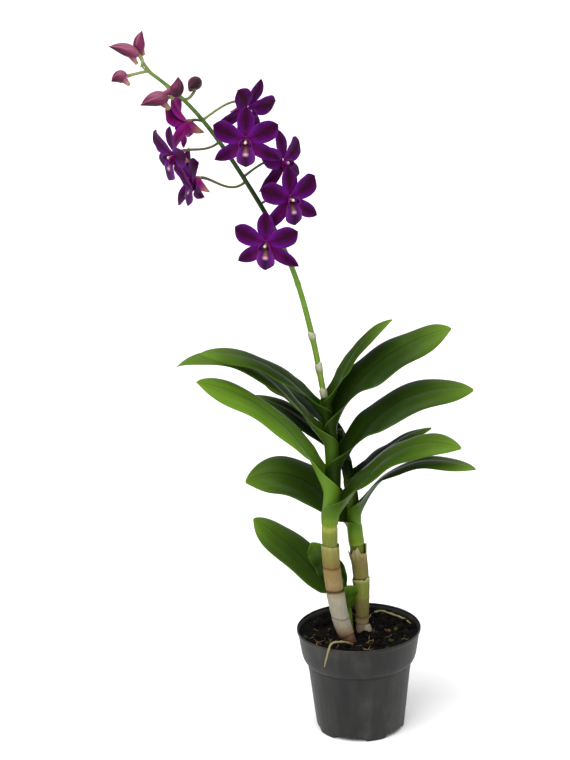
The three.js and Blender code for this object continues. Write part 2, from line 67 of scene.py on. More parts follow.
def thicken(piece, thickness, **skins):
    # gives a sheet its two faces and rounds it once
    finishWith(piece, "SOLIDIFY", thickness=thickness * mm, offset=0, **skins)
    finishWith(piece, "SUBSURF", levels=1, render_levels=1)


def fuse(piece, voxel, rounds):
    # makes one closed, softened skin of forms that run into each other
    finishWith(piece, "REMESH", mode="VOXEL", voxel_size=voxel * mm)
    finishWith(piece, "SMOOTH", factor=0.5, iterations=rounds)


def faceOutwards(merged=0):
    # merges the active piece's doubles, closer than merged in millimetres, and turns its faces outwards
    bpy.ops.object.mode_set(mode="EDIT")
    bpy.ops.mesh.select_all(action="SELECT")
    if merged:
        bpy.ops.mesh.remove_doubles(threshold=merged * mm)
    bpy.ops.mesh.normals_make_consistent(inside=False)
    bpy.ops.object.mode_set(mode="OBJECT")


def joinPieces(pieces):
    makeActive(pieces[0])
    for piece in pieces:
        piece.select_set(True)
    bpy.ops.object.join()
    return pieces[0]


def paint(piece, attribute, valueAt):
    # writes one number a vertex, worked out from its place in millimetres, for the materials to read
    layer = piece.data.attributes.new(attribute, "FLOAT", "POINT")
    for vertex in piece.data.vertices:
        layer.data[vertex.index].value = valueAt(vertex.co / mm)


def settle(piece, name, slot, nodes, *materials):
    # names a finished piece, dresses it and hands it to the frame in place of its solids
    piece.name = piece.data.name = name
    if materials:
        piece.data.materials.clear()
        for material in materials:
            piece.data.materials.append(material)
    makeActive(piece)
    bpy.ops.object.shade_smooth_by_angle(angle=math.radians(50))
    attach(piece, "root")
    if nodes:
        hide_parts(*nodes)


def between(pairs, x):
    # value at x on straight lines through (x, value) pairs
    if x <= pairs[0][0]:
        return pairs[0][1]
    for (x0, v0), (x1, v1) in zip(pairs, pairs[1:]):
        if x <= x1:
            return v0 + (v1 - v0) * (x - x0) / (x1 - x0)
    return pairs[-1][1]


def smoothStep(x):
    x = min(1, max(0, x))
    return x * x * (3 - 2 * x)


def wayOf(heading, slope=0):
    # direction of a heading and a slope in degrees
    heading, slope = math.radians(heading), math.radians(slope)
    return Vector((math.cos(slope) * math.cos(heading), math.cos(slope) * math.sin(heading), math.sin(slope)))


def smoothLine(points, t):
    # centripetal Catmull-Rom curve through points, at t from 0 to 1 as the solids have it
    line = [Vector(p) for p in points]
    line = [2 * line[0] - line[1]] + line + [2 * line[-1] - line[-2]]
    place = min(t, 0.999999) * (len(points) - 1)
    i = int(place)
    w = place - i
    p0, p1, p2, p3 = line[i:i + 4]
    d0, d1, d2 = [math.sqrt((b - a).length) for a, b in ((p0, p1), (p1, p2), (p2, p3))]
    out = ((p1 - p0) / d0 - (p2 - p0) / (d0 + d1) + (p2 - p1) / d1) * d1
    into = ((p2 - p1) / d1 - (p3 - p1) / (d1 + d2) + (p3 - p2) / d2) * d1
    return p1 + out * w + (3 * (p2 - p1) - 2 * out - into) * w ** 2 + (2 * (p1 - p2) + out + into) * w ** 3


def atHeight(points, z):
    # share of a rising line at which it passes a height
    low, high = 0.0, 1.0
    for _ in range(24):
        t = (low + high) / 2
        if smoothLine(points, t).z < z:
            low = t
        else:
            high = t
    return (low + high) / 2


def tube(points, radii, sides):
    # a round tube with closed ends through points in millimetres, by a bevelled curve made a mesh
    piece = newPiece(bpy.ops.curve.primitive_bezier_curve_add)
    curve = piece.data
    curve.splines.clear()
    curve.dimensions = "3D"
    spline = curve.splines.new("POLY")
    spline.points.add(len(points) - 1)
    for point, place, radius in zip(spline.points, points, radii):
        point.co = (*(Vector(place) * mm), 1)
        point.radius = radius
    curve.bevel_depth = mm
    curve.bevel_resolution = sides // 4 - 1
    curve.use_fill_caps = True
    makeActive(piece)
    bpy.ops.object.convert(target="MESH")
    faceOutwards(0.01)
    return bpy.context.object


def bladeShare(blade, t):
    # half width of a blade as a share of its widest
    if t < blade["widest"]:
        return blade["foot"] + (1 - blade["foot"]) * math.sin(0.5 * math.pi * t / blade["widest"])
    past = (t - blade["widest"]) / (1 - blade["widest"])
    return max(blade["tipShare"], max(0, math.cos(0.5 * math.pi * past ** blade["blunt"])) ** 0.8)


def bladeCurl(blade, t):
    # how far a blade's cross-section is bent, in radians
    easing = (1 - t) ** 2
    return blade["curl"] * easing + blade["curlTip"] * (1 - easing) + 0.001


def bladeSpine(blade, rows):
    # middle line of a blade with its direction and its left side, closer set towards the tip
    shareAt = lambda i: 1 - (1 - min(1, i / rows)) ** 1.4
    point = Vector(blade["base"])
    stations = []
    for i in range(rows + 1):
        t = shareAt(i)
        heading = blade["heading"] + blade["sweep"] * t
        along = wayOf(heading, blade["rise"] + (blade["droop"] - blade["rise"]) * t ** blade["bend"])
        roll = math.radians(blade["roll"] + (blade["rollTip"] - blade["roll"]) * t)
        level = wayOf(heading + 90)
        stations.append((t, point.copy(), along, level * math.cos(roll) + along.cross(level) * math.sin(roll)))
        point += along * blade["length"] * (shareAt(i + 1) - t)
    return stations


def sheetOf(rows, cells, placeAt, shareAt=None):
    # a grid bent row by row: placeAt(row, s) gives a point in millimetres, s runs from 1 on the left to -1
    piece = newPiece(bpy.ops.mesh.primitive_grid_add, x_subdivisions=rows, y_subdivisions=cells, size=2)
    for vertex in piece.data.vertices:
        vertex.co = placeAt(round((vertex.co.x + 1) / 2 * rows), vertex.co.y) * mm
    if shareAt:
        for corner in piece.data.uv_layers[0].data:
            corner.uv.x = shareAt(round(corner.uv.x * rows))
    return piece


def arcPoint(point, along, left, half, curl, s, lift=0):
    # a point on a cross-section that is bent into an arc
    face = along.cross(left)
    normal = face * math.cos(curl * s) - left * math.sin(curl * s)
    bent = left * (half * math.sin(curl * s) / curl) + face * (half * (1 - math.cos(curl * s)) / curl)
    return point + bent + normal * lift


# Materials: colours are sRGB hex values, turned to linear once here

blend = {"data_type": "RGBA"}
overlay = {"data_type": "RGBA", "blend_type": "OVERLAY"}


def linear(colour):
    channels = [int(colour[i:i + 2], 16) / 255 for i in (1, 3, 5)]
    return [c / 12.92 if c <= 0.04045 else ((c + 0.055) / 1.055) ** 2.4 for c in channels] + [1]


def addNode(tree, kind, settings=None, links=None):
    # adds a node; settings are socket values, ramp stops or the node's own options, links are sockets or nodes
    node = tree.nodes.new("ShaderNode" + kind)
    for name, value in (settings or {}).items():
        if name == "stops":
            while len(node.color_ramp.elements) < len(value):
                node.color_ramp.elements.new(0.5)
            for element, (place, colour) in zip(node.color_ramp.elements, value):
                element.position = place
                element.color = linear(colour)
        elif isinstance(name, int) or name in node.inputs:
            node.inputs[name].default_value = linear(value) if isinstance(value, str) else value
        else:
            setattr(node, name, value)
    for name, source in (links or {}).items():
        if hasattr(source, "outputs"):  # a whole node stands for its value, or for its colour where it mixes
            source = source.outputs[2 if source.type in ("MIX", "ATTRIBUTE") else 0]
        tree.links.new(source, node.inputs[name])
    return node


def newMaterial(name):
    material = bpy.data.materials.new(name)
    material.use_nodes = True
    material.node_tree.nodes.clear()
    coordinates = addNode(material.node_tree, "TexCoord").outputs
    return material, material.node_tree, coordinates["Object"], coordinates["UV"]


def closeMaterial(tree, colour, roughness, specular, height=None, strength=0, distance=0):
    # ends a material in its shader; roughness is a number or a node, height is what the bump follows
    links, settings = {"Base Color": colour}, {"Specular IOR Level": specular}
    (links if hasattr(roughness, "outputs") else settings)["Roughness"] = roughness
    if height:
        links["Normal"] = addNode(tree, "Bump", {"Strength": strength, "Distance": distance}, {"Height": height})
    shader = addNode(tree, "BsdfPrincipled", settings, links)
    addNode(tree, "OutputMaterial", links={"Surface": shader})


def streaked(tree, colour, place, stretch, pattern, stops, share):
    # overlays a stretched noise on a colour, as streaks and veins are; returns the noise and the new colour
    stretched = addNode(tree, "Mapping", {"Scale": stretch}, {"Vector": place})
    streak = addNode(tree, "TexNoise", pattern, {"Vector": stretched})
    tint = addNode(tree, "ValToRGB", {"stops": stops}, {"Fac": streak})
    return streak, addNode(tree, "Mix", {**overlay, 0: share}, {6: colour, 7: tint})


def bladeParts(tree, uv):
    # share of a blade's length, and distance from its rib from 0 to 1
    split = addNode(tree, "SeparateXYZ", links={0: uv})
    centred = addNode(tree, "Math", {"operation": "MULTIPLY_ADD", 1: 2, 2: -1}, {0: split.outputs["Y"]})
    return split.outputs["X"], addNode(tree, "Math", {"operation": "ABSOLUTE"}, {0: centred})


# Moulded polypropylene: thin dark pot plastic with a fine grain, rubbed and dusted by handling and watering, with
# painted shade in the crease under the shoulder
def potPlastic():
    material, tree, place, _ = newMaterial("mouldedPolypropylene")
    dust = addNode(tree, "TexNoise", {"Scale": 19, "Detail": 6, "Roughness": 0.62}, {"Vector": place})
    plastic = addNode(tree, "ValToRGB", {"stops": [(0.34, "#131313"), (0.5, "#1b1b1a"), (0.62, "#282827"),
                                                   (0.78, "#454543")]}, {"Fac": dust})
    _, colour = streaked(tree, plastic, place, (1, 1, 0.12), {"Scale": 85, "Detail": 4},
                         [(0.4, "#8a8a8a"), (0.6, "#e2dfda")], share=0.7)
    # painted shade: a dark line round the crease under the shoulder, where shade falls under the band
    height = addNode(tree, "SeparateXYZ", links={0: place}).outputs["Z"]
    offCrease = addNode(tree, "Math", {"operation": "SUBTRACT", 1: 0.0694}, {0: height})
    awayFrom = addNode(tree, "Math", {"operation": "ABSOLUTE"}, {0: offCrease})
    creaseShadeShare = addNode(tree, "MapRange", {"From Min": 0.0005, "From Max": 0.0019, "To Min": 0.85, "To Max": 0},
                          {"Value": awayFrom})
    creaseShaded = addNode(tree, "Mix", {**blend, 7: "#060606"}, {0: creaseShadeShare, 6: colour})
    # moulded grain about 0.5 mm across, drawn coarser than the real one so that it shows
    grain = addNode(tree, "TexNoise", {"Scale": 1900, "Detail": 2}, {"Vector": place})
    roughness = addNode(tree, "MapRange", {"From Min": 0.3, "From Max": 0.75, "To Min": 0.42, "To Max": 0.62},
                        {"Value": dust})
    closeMaterial(tree, creaseShaded, roughness, specular=0.3, height=grain, strength=0.12, distance=0.0003)
    return material


# Peat: moist crumbs, near black with brown specks
def peat():
    material, tree, place, _ = newMaterial("moistPeat")
    crumb = addNode(tree, "TexNoise", {"Scale": 420, "Detail": 5, "Roughness": 0.7}, {"Vector": place})
    colour = addNode(tree, "ValToRGB", {"stops": [(0.35, "#020101"), (0.54, "#060403"), (0.68, "#100a06"),
                                                  (0.8, "#2a1e14")]}, {"Fac": crumb})
    closeMaterial(tree, colour, roughness=0.85, specular=0.08, height=crumb, strength=0.9, distance=0.0012)
    return material


# Bark, coir, moss and old paper sheath: torn chips and fibres, each from its own dark to its own light
def bark(name, dark, light, scale):
    material, tree, place, _ = newMaterial(name)
    patch = addNode(tree, "TexNoise", {"Scale": 90, "Detail": 2}, {"Vector": place})
    fibre = addNode(tree, "TexNoise", {"Scale": scale, "Detail": 6, "Roughness": 0.75}, {"Vector": place})
    tone = addNode(tree, "Math", {"operation": "MULTIPLY_ADD", 1: 0.6}, {0: fibre, 2: patch})
    colour = addNode(tree, "ValToRGB", {"stops": [(0.6, dark), (1, light)]}, {"Fac": tone})
    closeMaterial(tree, colour, roughness=0.8, specular=0.1, height=fibre, strength=0.7, distance=0.0006)
    return material


# Living and dry cane skin: colour runs with height in bands between its rings, with fine upright streaks
def caneSkin(name, low, high, stops, roughness):
    material, tree, place, _ = newMaterial(name)
    height = addNode(tree, "SeparateXYZ", links={0: place}).outputs["Z"]
    wander = addNode(tree, "TexNoise", {"Scale": 90, "Detail": 3}, {"Vector": place})
    shifted = addNode(tree, "Math", {"operation": "MULTIPLY_ADD", 1: 0.004}, {0: wander, 2: height})
    share = addNode(tree, "MapRange", {"From Min": low * mm + 0.002, "From Max": high * mm + 0.002}, {"Value": shifted})
    bands = addNode(tree, "ValToRGB", {"stops": [((z - low) / (high - low), c) for z, c in stops]}, {"Fac": share})
    streak, colour = streaked(tree, bands, place, (1, 1, 0.06), {"Scale": 900, "Detail": 4},
                              [(0.3, "#a2a2a2"), (0.7, "#d0d0d0")], share=0.5)
    _, marked = streaked(tree, colour, place, (1, 1, 1), {"Scale": 210, "Detail": 5, "Roughness": 0.7},
                         [(0.3, "#96897a"), (0.46, "#bcbcbc")], share=0.4)
    closeMaterial(tree, marked, roughness, specular=0.2, height=streak, strength=0.35, distance=0.0004)
    return material


# Leaf: a waxy, leathery blade, deep green with fine lengthwise veins and a yellower tip and sheath
def leafSkin(name, deep, fresh, tip, sheath, roughness):
    material, tree, place, uv = newMaterial(name)
    along, fromRib = bladeParts(tree, uv)
    mottle = addNode(tree, "TexNoise", {"Scale": 34, "Detail": 4, "Roughness": 0.55}, {"Vector": place})
    body = addNode(tree, "ValToRGB", {"stops": [(0.3, deep), (0.85, fresh)]}, {"Fac": mottle})
    # each leaf is pushed towards the paler sheath green by its own amount: partly its own freshness, partly painted
    # light, lighter on leaves that face the light
    tone = addNode(tree, "Attribute", {"attribute_name": "tone"})
    toneAndLightMix = addNode(tree, "Mix", {**blend, 7: sheath}, {0: tone, 6: body})
    # the tip is yellower, and the margins a little
    tipShare = addNode(tree, "MapRange", {"From Min": 0.5, "From Max": 1.04, "To Max": 0.95}, {"Value": along})
    tipNoise = addNode(tree, "Math", {"operation": "MULTIPLY_ADD", 1: 0.5, 2: -0.25}, {0: mottle})
    tipEdge = addNode(tree, "Math", {"operation": "ADD"}, {0: tipShare, 1: tipNoise})
    tipOnly = addNode(tree, "Math", {"operation": "MULTIPLY", "use_clamp": True}, {0: tipEdge, 1: tipShare})
    margin = addNode(tree, "MapRange", {"From Min": 0.88, "To Max": 0.28}, {"Value": fromRib})
    lightened = addNode(tree, "Math", {"operation": "MAXIMUM"}, {0: tipOnly, 1: margin})
    tipped = addNode(tree, "Mix", {**blend, 7: tip}, {0: lightened, 6: toneAndLightMix})
    # the low sheaths are paler than the blade, and yellow towards their foot
    pale = addNode(tree, "Attribute", {"attribute_name": "pale"})
    low = addNode(tree, "MapRange", {"From Min": -0.04, "From Max": 0.16, "To Min": 0.95, "To Max": 0},
                  {"Value": along})
    lowShare = addNode(tree, "Math", {"operation": "MULTIPLY"}, {0: low, 1: pale})
    footShare = addNode(tree, "MapRange", {"From Min": -0.2, "From Max": -0.02}, {"Value": along})
    footTone = addNode(tree, "ValToRGB", {"stops": [(0, "#7d8730"), (0.22, "#667a1c"), (1, sheath)]},
                       {"Fac": footShare})
    sheathed = addNode(tree, "Mix", blend, {0: lowShare, 6: tipped, 7: footTone})
    # veins about 1.2 mm apart, a little wider than life so that they show
    vein, veined = streaked(tree, sheathed, uv, (2.2, 34, 1), {"Scale": 1, "Detail": 3, "Roughness": 0.6},
                            [(0.32, "#a9a9a9"), (0.68, "#cccccc")], share=0.6)
    # the midrib is a fine sunken line, darker in its groove
    ribShare = addNode(tree, "MapRange", {"From Max": 0.04, "To Min": 0.45, "To Max": 0}, {"Value": fromRib})
    ribbed = addNode(tree, "Mix", {**blend, 7: deep}, {0: ribShare, 6: veined})
    grain = addNode(tree, "TexNoise", {"Scale": 800, "Detail": 2}, {"Vector": place})
    relief = addNode(tree, "Math", {"operation": "MULTIPLY_ADD", 1: 0.25}, {0: grain, 2: vein})
    closeMaterial(tree, ribbed, roughness, specular=0.075, height=relief, strength=0.3, distance=0.0005)
    return material


# Petal: soft, velvety tissue with fine fanned veins; middle is the colour of its heart, edge that of its margins
def petalSkin(name, middle, body, edge, base, roughness):
    material, tree, place, uv = newMaterial(name)
    along, fromRib = bladeParts(tree, uv)
    cloud = addNode(tree, "TexNoise", {"Scale": 150, "Detail": 4}, {"Vector": place})
    wandered = addNode(tree, "Math", {"operation": "MULTIPLY_ADD", 1: 0.5, 2: -0.25}, {0: cloud})
    spread = addNode(tree, "Math", {"operation": "ADD"}, {0: wandered, 1: fromRib})
    # the dark heart lies in the outer half
    outwards = addNode(tree, "MapRange", {"From Min": 0.2, "From Max": 0.6, "To Min": 0.4, "To Max": 0},
                       {"Value": along})
    reach = addNode(tree, "Math", {"operation": "ADD"}, {0: spread, 1: outwards})
    colour = addNode(tree, "ValToRGB", {"stops": [(0.2, middle), (0.66, body), (0.98, edge)]}, {"Fac": reach})
    baseShare = addNode(tree, "MapRange", {"From Max": 0.3, "To Min": 0.85, "To Max": 0}, {"Value": along})
    based = addNode(tree, "Mix", {**blend, 7: base}, {0: baseShare, 6: colour})
    vein, veined = streaked(tree, based, uv, (1.6, 22, 1), {"Scale": 1, "Detail": 3, "Distortion": 0.3},
                            [(0.32, "#9c9c9c"), (0.66, "#cecece")], share=0.6)
    # towards the chin of the flower the sepals turn pink, then cream, then green-grey
    chin = addNode(tree, "Attribute", {"attribute_name": "chin"})
    chinColour = addNode(tree, "ValToRGB", {"stops": [(0.25, "#6f1660"), (0.5, "#96406c"), (0.75, "#a87a64"),
                                                      (1, "#605c3c")]}, {"Fac": chin})
    chinShare = addNode(tree, "MapRange", {"From Max": 0.45}, {"Value": chin})
    patched = addNode(tree, "Mix", blend, {0: chinShare, 6: veined, 7: chinColour})
    closeMaterial(tree, patched, roughness, specular=0.03, height=vein, strength=0.35, distance=0.0004)
    return material


# Lip: violet with a dark heart, a pale callus and a mustard throat, set by its own length and width
def lipSkin(name, stops):
    material, tree, _, uv = newMaterial(name)
    along, fromRib = bladeParts(tree, uv)
    across = addNode(tree, "ValToRGB", {"stops": [(0.02, "#260526"), (0.28, "#3d0a42"), (0.6, "#541064"),
                                                  (1, "#662478")]}, {"Fac": fromRib})
    throat = addNode(tree, "ValToRGB", {"stops": stops}, {"Fac": along})
    inThroat = addNode(tree, "MapRange", {"From Min": 0.6, "From Max": 0.5}, {"Value": along})
    narrow = addNode(tree, "MapRange", {"From Min": 0.42, "From Max": 0.02, "interpolation_type": "SMOOTHSTEP"},
                     {"Value": fromRib})
    share = addNode(tree, "Math", {"operation": "MULTIPLY"}, {0: inThroat, 1: narrow})
    colour = addNode(tree, "Mix", blend, {0: share, 6: across, 7: throat})
    vein, veined = streaked(tree, colour, uv, (1.6, 20, 1), {"Scale": 1, "Detail": 3},
                            [(0.32, "#9c9c9c"), (0.66, "#cecece")], share=0.5)
    closeMaterial(tree, veined, roughness=0.5, specular=0.08, height=vein, strength=0.35, distance=0.0004)
    return material


# Fleshy tissue whose colour runs along the piece, as on spurs, buds, columns, stalks and stems
def fleshSkin(name, stops, roughness, mottleScale=240, mottleTone="#a4a4a4"):
    material, tree, place, _ = newMaterial(name)
    share = addNode(tree, "Attribute", {"attribute_name": "along"})
    cloud = addNode(tree, "TexNoise", {"Scale": mottleScale, "Detail": 4}, {"Vector": place})
    wandered = addNode(tree, "Math", {"operation": "MULTIPLY_ADD", 1: 0.16, 2: -0.08}, {0: cloud})
    shifted = addNode(tree, "Math", {"operation": "ADD"}, {0: wandered, 1: share})
    colour = addNode(tree, "ValToRGB", {"stops": stops}, {"Fac": shifted})
    tint = addNode(tree, "ValToRGB", {"stops": [(0.35, mottleTone), (0.65, "#cacaca")]}, {"Fac": cloud})
    mottled = addNode(tree, "Mix", {**overlay, 0: 0.5}, {6: colour, 7: tint})
    fine = addNode(tree, "TexNoise", {"Scale": 1500, "Detail": 2}, {"Vector": place})
    closeMaterial(tree, mottled, roughness, specular=0.2, height=fine, strength=0.15, distance=0.0003)
    return material


leafTop = leafSkin("waxyLeafFace", deep="#051201", fresh="#102803", tip="#628422", sheath="#587b22", roughness=0.36)
leafUnder = leafSkin("matteLeafBack", deep="#102206", fresh="#1d3a0a", tip="#4c6a1a", sheath="#48690f", roughness=0.5)
petalFront = petalSkin("velvetPetalFace", middle="#310526", body="#44084a", edge="#540e6c",
                       base="#6a0e6a", roughness=0.55)
petalBack = petalSkin("silkyPetalBack", middle="#640c50", body="#84146e", edge="#90208c",
                      base="#a81c80", roughness=0.6)
# painted highlight: the thin cut edges of petals and sepals are a lighter violet than their faces, standing in for rim
# light
rimLightPetal = petalSkin("paintedRimLightPetalEdge", middle="#4c1048", body="#5c1a5c", edge="#6c2a72",
                     base="#6e2a66", roughness=0.5)
lipFront = lipSkin("lipTissue", [(0.08, "#4c2410"), (0.26, "#76501e"), (0.38, "#8e5268"), (0.46, "#cca6b8"),
                                 (0.57, "#5a1a60")])
lobeFront = lipSkin("sideLobeTissue", [(0.1, "#7b3a2c"), (0.5, "#7a2a68")])
print("materials ready")


# Pot: a thin thermoformed nursery pot with a stacking shoulder, a turned lip and five low feet

potShape = {
    "sides": 240,
    "wall": 1.2,
    "base": [(11.5, 0), (12.2, 0.3), (13, 4), (33.4, 4), (36.6, 4), (37.5, 0.6), (38.3, 0), (41.6, 0)],
    "side": [(42.2, 0.4), (42.5, 1.5), (43.1, 6), (44, 14), (44.8, 20.5), (45.5, 27), (46, 31.5), (46.5, 36),
             (47.2, 42.5), (48, 49), (48.5, 54), (49, 58.6), (49.6, 62), (50, 65), (50.4, 67.6), (50.6, 69.2),
             (51.6, 69.7), (53.2, 71.6), (54.3, 73.8), (54.8, 75.4), (55.5, 77.9), (56.2, 82), (57, 87), (57.8, 92),
             (58.5, 97), (58.8, 99.4), (59.3, 100), (59.9, 100.3), (60, 100.8), (60, 102.4), (59.7, 102.9),
             (59.2, 103)],
    "gapCount": 5,  # gaps between the feet
    "firstGap": -107,
    "gapHalf": 21,
    "gapRise": 3.8,
    "slotHalf": 11,  # drain slots in the floor, over the gaps
    "slotReach": (33.4, 36.6),
    "flutes": 40,
    "fluteReach": (4, 60),  # heights between which they stand
    "fluteDepth": 0.12,
}


def turnedSheet(sides, rings, closed=False):
    # a round sheet raised from a circle by extruding and scaling it; rings are (radius, height) pairs
    radius, height = rings[0]
    piece = newPiece(bpy.ops.mesh.primitive_circle_add, vertices=sides, radius=radius * mm)
    bpy.ops.object.mode_set(mode="EDIT")
    bpy.ops.mesh.select_mode(type="VERT")
    bpy.ops.mesh.select_all(action="SELECT")
    bpy.ops.transform.translate(value=(0, 0, height * mm))
    for nextRadius, nextHeight in rings[1:]:
        rise = (nextHeight - height) * mm
        bpy.ops.mesh.extrude_region_move(TRANSFORM_OT_translate={"value": (0, 0, rise)})
        growth = nextRadius / radius
        bpy.ops.transform.resize(value=(growth, growth, 1), center_override=(0, 0, nextHeight * mm))
        radius, height = nextRadius, nextHeight
    if closed:
        bpy.ops.mesh.merge(type="CENTER")
    bpy.ops.object.mode_set(mode="OBJECT")
    return piece


def gapAngle(x, y):
    # degrees from the middle of the nearest gap between two feet
    step = 360 / potShape["gapCount"]
    turn = (math.degrees(math.atan2(y, x)) - potShape["firstGap"]) % step
    return min(turn, step - turn)


def makePot():
    piece = turnedSheet(potShape["sides"], [(0.5, 0)] + potShape["base"] + potShape["side"])
    slotIn, slotOut = potShape["slotReach"]
    fluteFoot, fluteEnd = potShape["fluteReach"]
    for polygon in piece.data.polygons:
        x, y, z = polygon.center / mm
        polygon.select = slotIn < math.hypot(x, y) < slotOut and gapAngle(x, y) < potShape["slotHalf"]
    for vertex in piece.data.vertices:
        x, y, z = vertex.co / mm
        radius = math.hypot(x, y)
        if radius > slotOut and z < potShape["gapRise"]:
            inGap = smoothStep((potShape["gapHalf"] + 3 - gapAngle(x, y)) / 6)
            vertex.co.z = (z + (potShape["gapRise"] - z) * inGap) * mm
        if radius > 42 and fluteFoot < z < fluteEnd:
            low = smoothStep((z - fluteFoot) / 6) * smoothStep((fluteEnd - z) / 26)
            wave = 0.5 + 0.5 * math.cos(potShape["flutes"] * math.atan2(y, x))
            vertex.co.xy *= 1 - potShape["fluteDepth"] * low * wave / radius
    bpy.ops.object.mode_set(mode="EDIT")
    bpy.ops.mesh.select_mode(type="FACE")
    bpy.ops.mesh.delete(type="FACE")
    bpy.ops.object.mode_set(mode="OBJECT")
    faceOutwards()
    finishWith(piece, "SOLIDIFY", thickness=potShape["wall"] * mm, offset=-1, use_even_offset=True)
    settle(piece, "pot_shell", "pot", ["pot"], potPlastic())


makePot()
print("pot made")


# Growing medium: a crumbly bed of peat with bark chips, fibres and green and straw bits on it

soilShape = {
    "sides": 150,
    "wall": [(42.5, 6.5), (48.2, 64), (52.2, 75), (55.2, 90), (56.4, 94)],
    "edge": 57,
    "middle": 0.3,
    "rings": 59,
    "flat": 94,  # level of the bed before it gets its relief
    "top": 95.6,
    "edgeRise": 1.8,
    "riseReach": (36, 54),  # radii between which it rises
    "relief": 2.4,
    "reliefScale": 19,
    "crumb": 1.9,
    "crumbScale": 5.5,
    "caneFeet": ((-9, -17), (3, 8.3), (-9, 9)),  # loose bits keep off these
}
looseBits = {
    "chipCount": 210,
    "chipSizes": (2, 2.6, 3.4, 4.4, 6.5),
    "freshSizes": (6, 4, 3, 5, 3.5, 4.5),
    "scrap": (9, 5, 4.5, 1.5, 8),  # place, length, width and height
    "fibreCount": 28,
    "mossCount": 14,
    "placedMoss": [(-52, -8, 4), (31, -16.5, 5), (-31, -22, 3), (36, 4, 3.4)],
}


def soilHeight(x, y):
    # height of the bed in millimetres: a little higher at the wall, humped and crumbly
    start, end = soilShape["riseReach"]
    rise = soilShape["edgeRise"] * smoothStep((math.hypot(x, y) - start) / (end - start))
    hump = noise.noise(Vector((x, y, 4)) / soilShape["reliefScale"]) * soilShape["relief"]
    crumb = noise.turbulence(Vector((x, y, 9)) / soilShape["crumbScale"], 3, False) * soilShape["crumb"]
    return soilShape["top"] + rise + hump + crumb


def makeSoil():
    edge, middle, count, flat = soilShape["edge"], soilShape["middle"], soilShape["rings"], soilShape["flat"]
    inward = [(edge - (edge - middle) * i / (count - 1), flat) for i in range(count)]
    piece = turnedSheet(soilShape["sides"], soilShape["wall"] + inward, closed=True)
    for vertex in piece.data.vertices:
        if vertex.co.z > (flat - 2) * mm:
            x, y, z = vertex.co / mm
            vertex.co.z = soilHeight(x, y) * mm
    faceOutwards()
    settle(piece, "peat_bed", "growing_medium", ["growing_medium"], peat())


def scatter(count, seed, reach, clear):
    # places on the bed, kept off the canes
    pick = random.Random(seed)
    places = []
    while len(places) < count:
        turn = pick.uniform(0, 2 * math.pi)
        radius = reach * math.sqrt(pick.random())
        x, y = radius * math.cos(turn), radius * math.sin(turn)
        if all(math.hypot(x - footX, y - footY) >= clear for footX, footY in soilShape["caneFeet"]):
            places.append((x, y, pick))
    return places


def makeChip(x, y, pick, length, width, height, rough):
    # one broken chip: a cube cut finer, its corners worn by noise
    piece = newPiece(bpy.ops.mesh.primitive_cube_add, size=2)
    bpy.ops.object.mode_set(mode="EDIT")
    bpy.ops.mesh.select_all(action="SELECT")
    bpy.ops.mesh.subdivide(number_cuts=2, smoothness=0.6)
    bpy.ops.object.mode_set(mode="OBJECT")
    shift = Vector([pick.uniform(0, 90) for _ in range(3)])
    for vertex in piece.data.vertices:
        grown = vertex.co + noise.noise_vector(vertex.co * 1.3 + shift) * rough
        vertex.co = grown * Vector((length, width, height)) / 2 * mm
    spin = Matrix.Rotation(pick.uniform(0, 2 * math.pi), 4, "Z")
    tilt = Matrix.Rotation(pick.uniform(-0.6, 0.6), 4, "X") @ Matrix.Rotation(pick.uniform(-0.5, 0.5), 4, "Y")
    place = Matrix.Translation(Vector((x, y, soilHeight(x, y) + height * 0.22)) * mm)
    piece.data.transform(place @ spin @ tilt)
    return piece


def makeChips():
    chips = []
    for x, y, pick in scatter(looseBits["chipCount"], seed=11, reach=52, clear=11):
        size = pick.choice(looseBits["chipSizes"])
        chips.append(makeChip(x, y, pick, size, size * pick.uniform(0.35, 0.8), size * pick.uniform(0.3, 0.7),
                              rough=0.9))
    settle(joinPieces(chips), "bark_chips", "growing_medium", [], bark("brokenBark", "#030201", "#100a06", 500))
    sizes = looseBits["freshSizes"]
    fresh = [makeChip(x, y, pick, size, size * 0.55, size * 0.35, rough=0.5)
             for (x, y, pick), size in zip(scatter(len(sizes), seed=47, reach=48, clear=12), sizes)]
    settle(joinPieces(fresh), "fresh_bark_chips", "growing_medium", [], bark("freshBark", "#241108", "#5c3318", 500))
    x, y, length, width, height = looseBits["scrap"]
    scrap = makeChip(x, y, random.Random(7), length, width, height, rough=0.9)
    settle(scrap, "paper_scrap", "dry_sheath", [], bark("paperScrap", "#6e6450", "#a89f88", 500))


def makeFibres():
    fibres = []
    for x, y, pick in scatter(looseBits["fibreCount"], seed=23, reach=50, clear=10):
        turn = pick.uniform(0, 2 * math.pi)
        length = pick.uniform(5, 13)
        points = []
        for i in range(7):
            along = (i / 6 - 0.5) * length
            side = math.sin(i * pick.uniform(0.3, 0.9)) * length * 0.08
            px = x + along * math.cos(turn) - side * math.sin(turn)
            py = y + along * math.sin(turn) + side * math.cos(turn)
            points.append((px, py, soilHeight(px, py) + 0.5 + pick.uniform(0, 0.9)))
        thick = pick.uniform(0.22, 0.5)
        fibres.append(tube(points, [thick * (1 - 0.5 * abs(i - 3) / 3) for i in range(7)], sides=6))
    settle(joinPieces(fibres), "coir_fibres", "growing_medium", [], bark("coirFibre", "#4a3a20", "#8a784e", 700))


def makeMoss():
    bits = looseBits["placedMoss"] + [(x, y, pick.uniform(1.6, 3))
                                      for x, y, pick in scatter(looseBits["mossCount"], seed=31, reach=50, clear=11)]
    pick = random.Random(5)
    pieces = [makeChip(x, y, pick, size, size * 0.7, size * 0.4, rough=0.8) for x, y, size in bits]
    settle(joinPieces(pieces), "green_bits", "growing_medium", [], bark("greenMoss", "#141a08", "#323f1a", 600))


makeSoil()
makeChips()
makeFibres()
makeMoss()
print("growing medium made")


# Canes: jointed stems, bare low down and clasped by leaf sheaths above

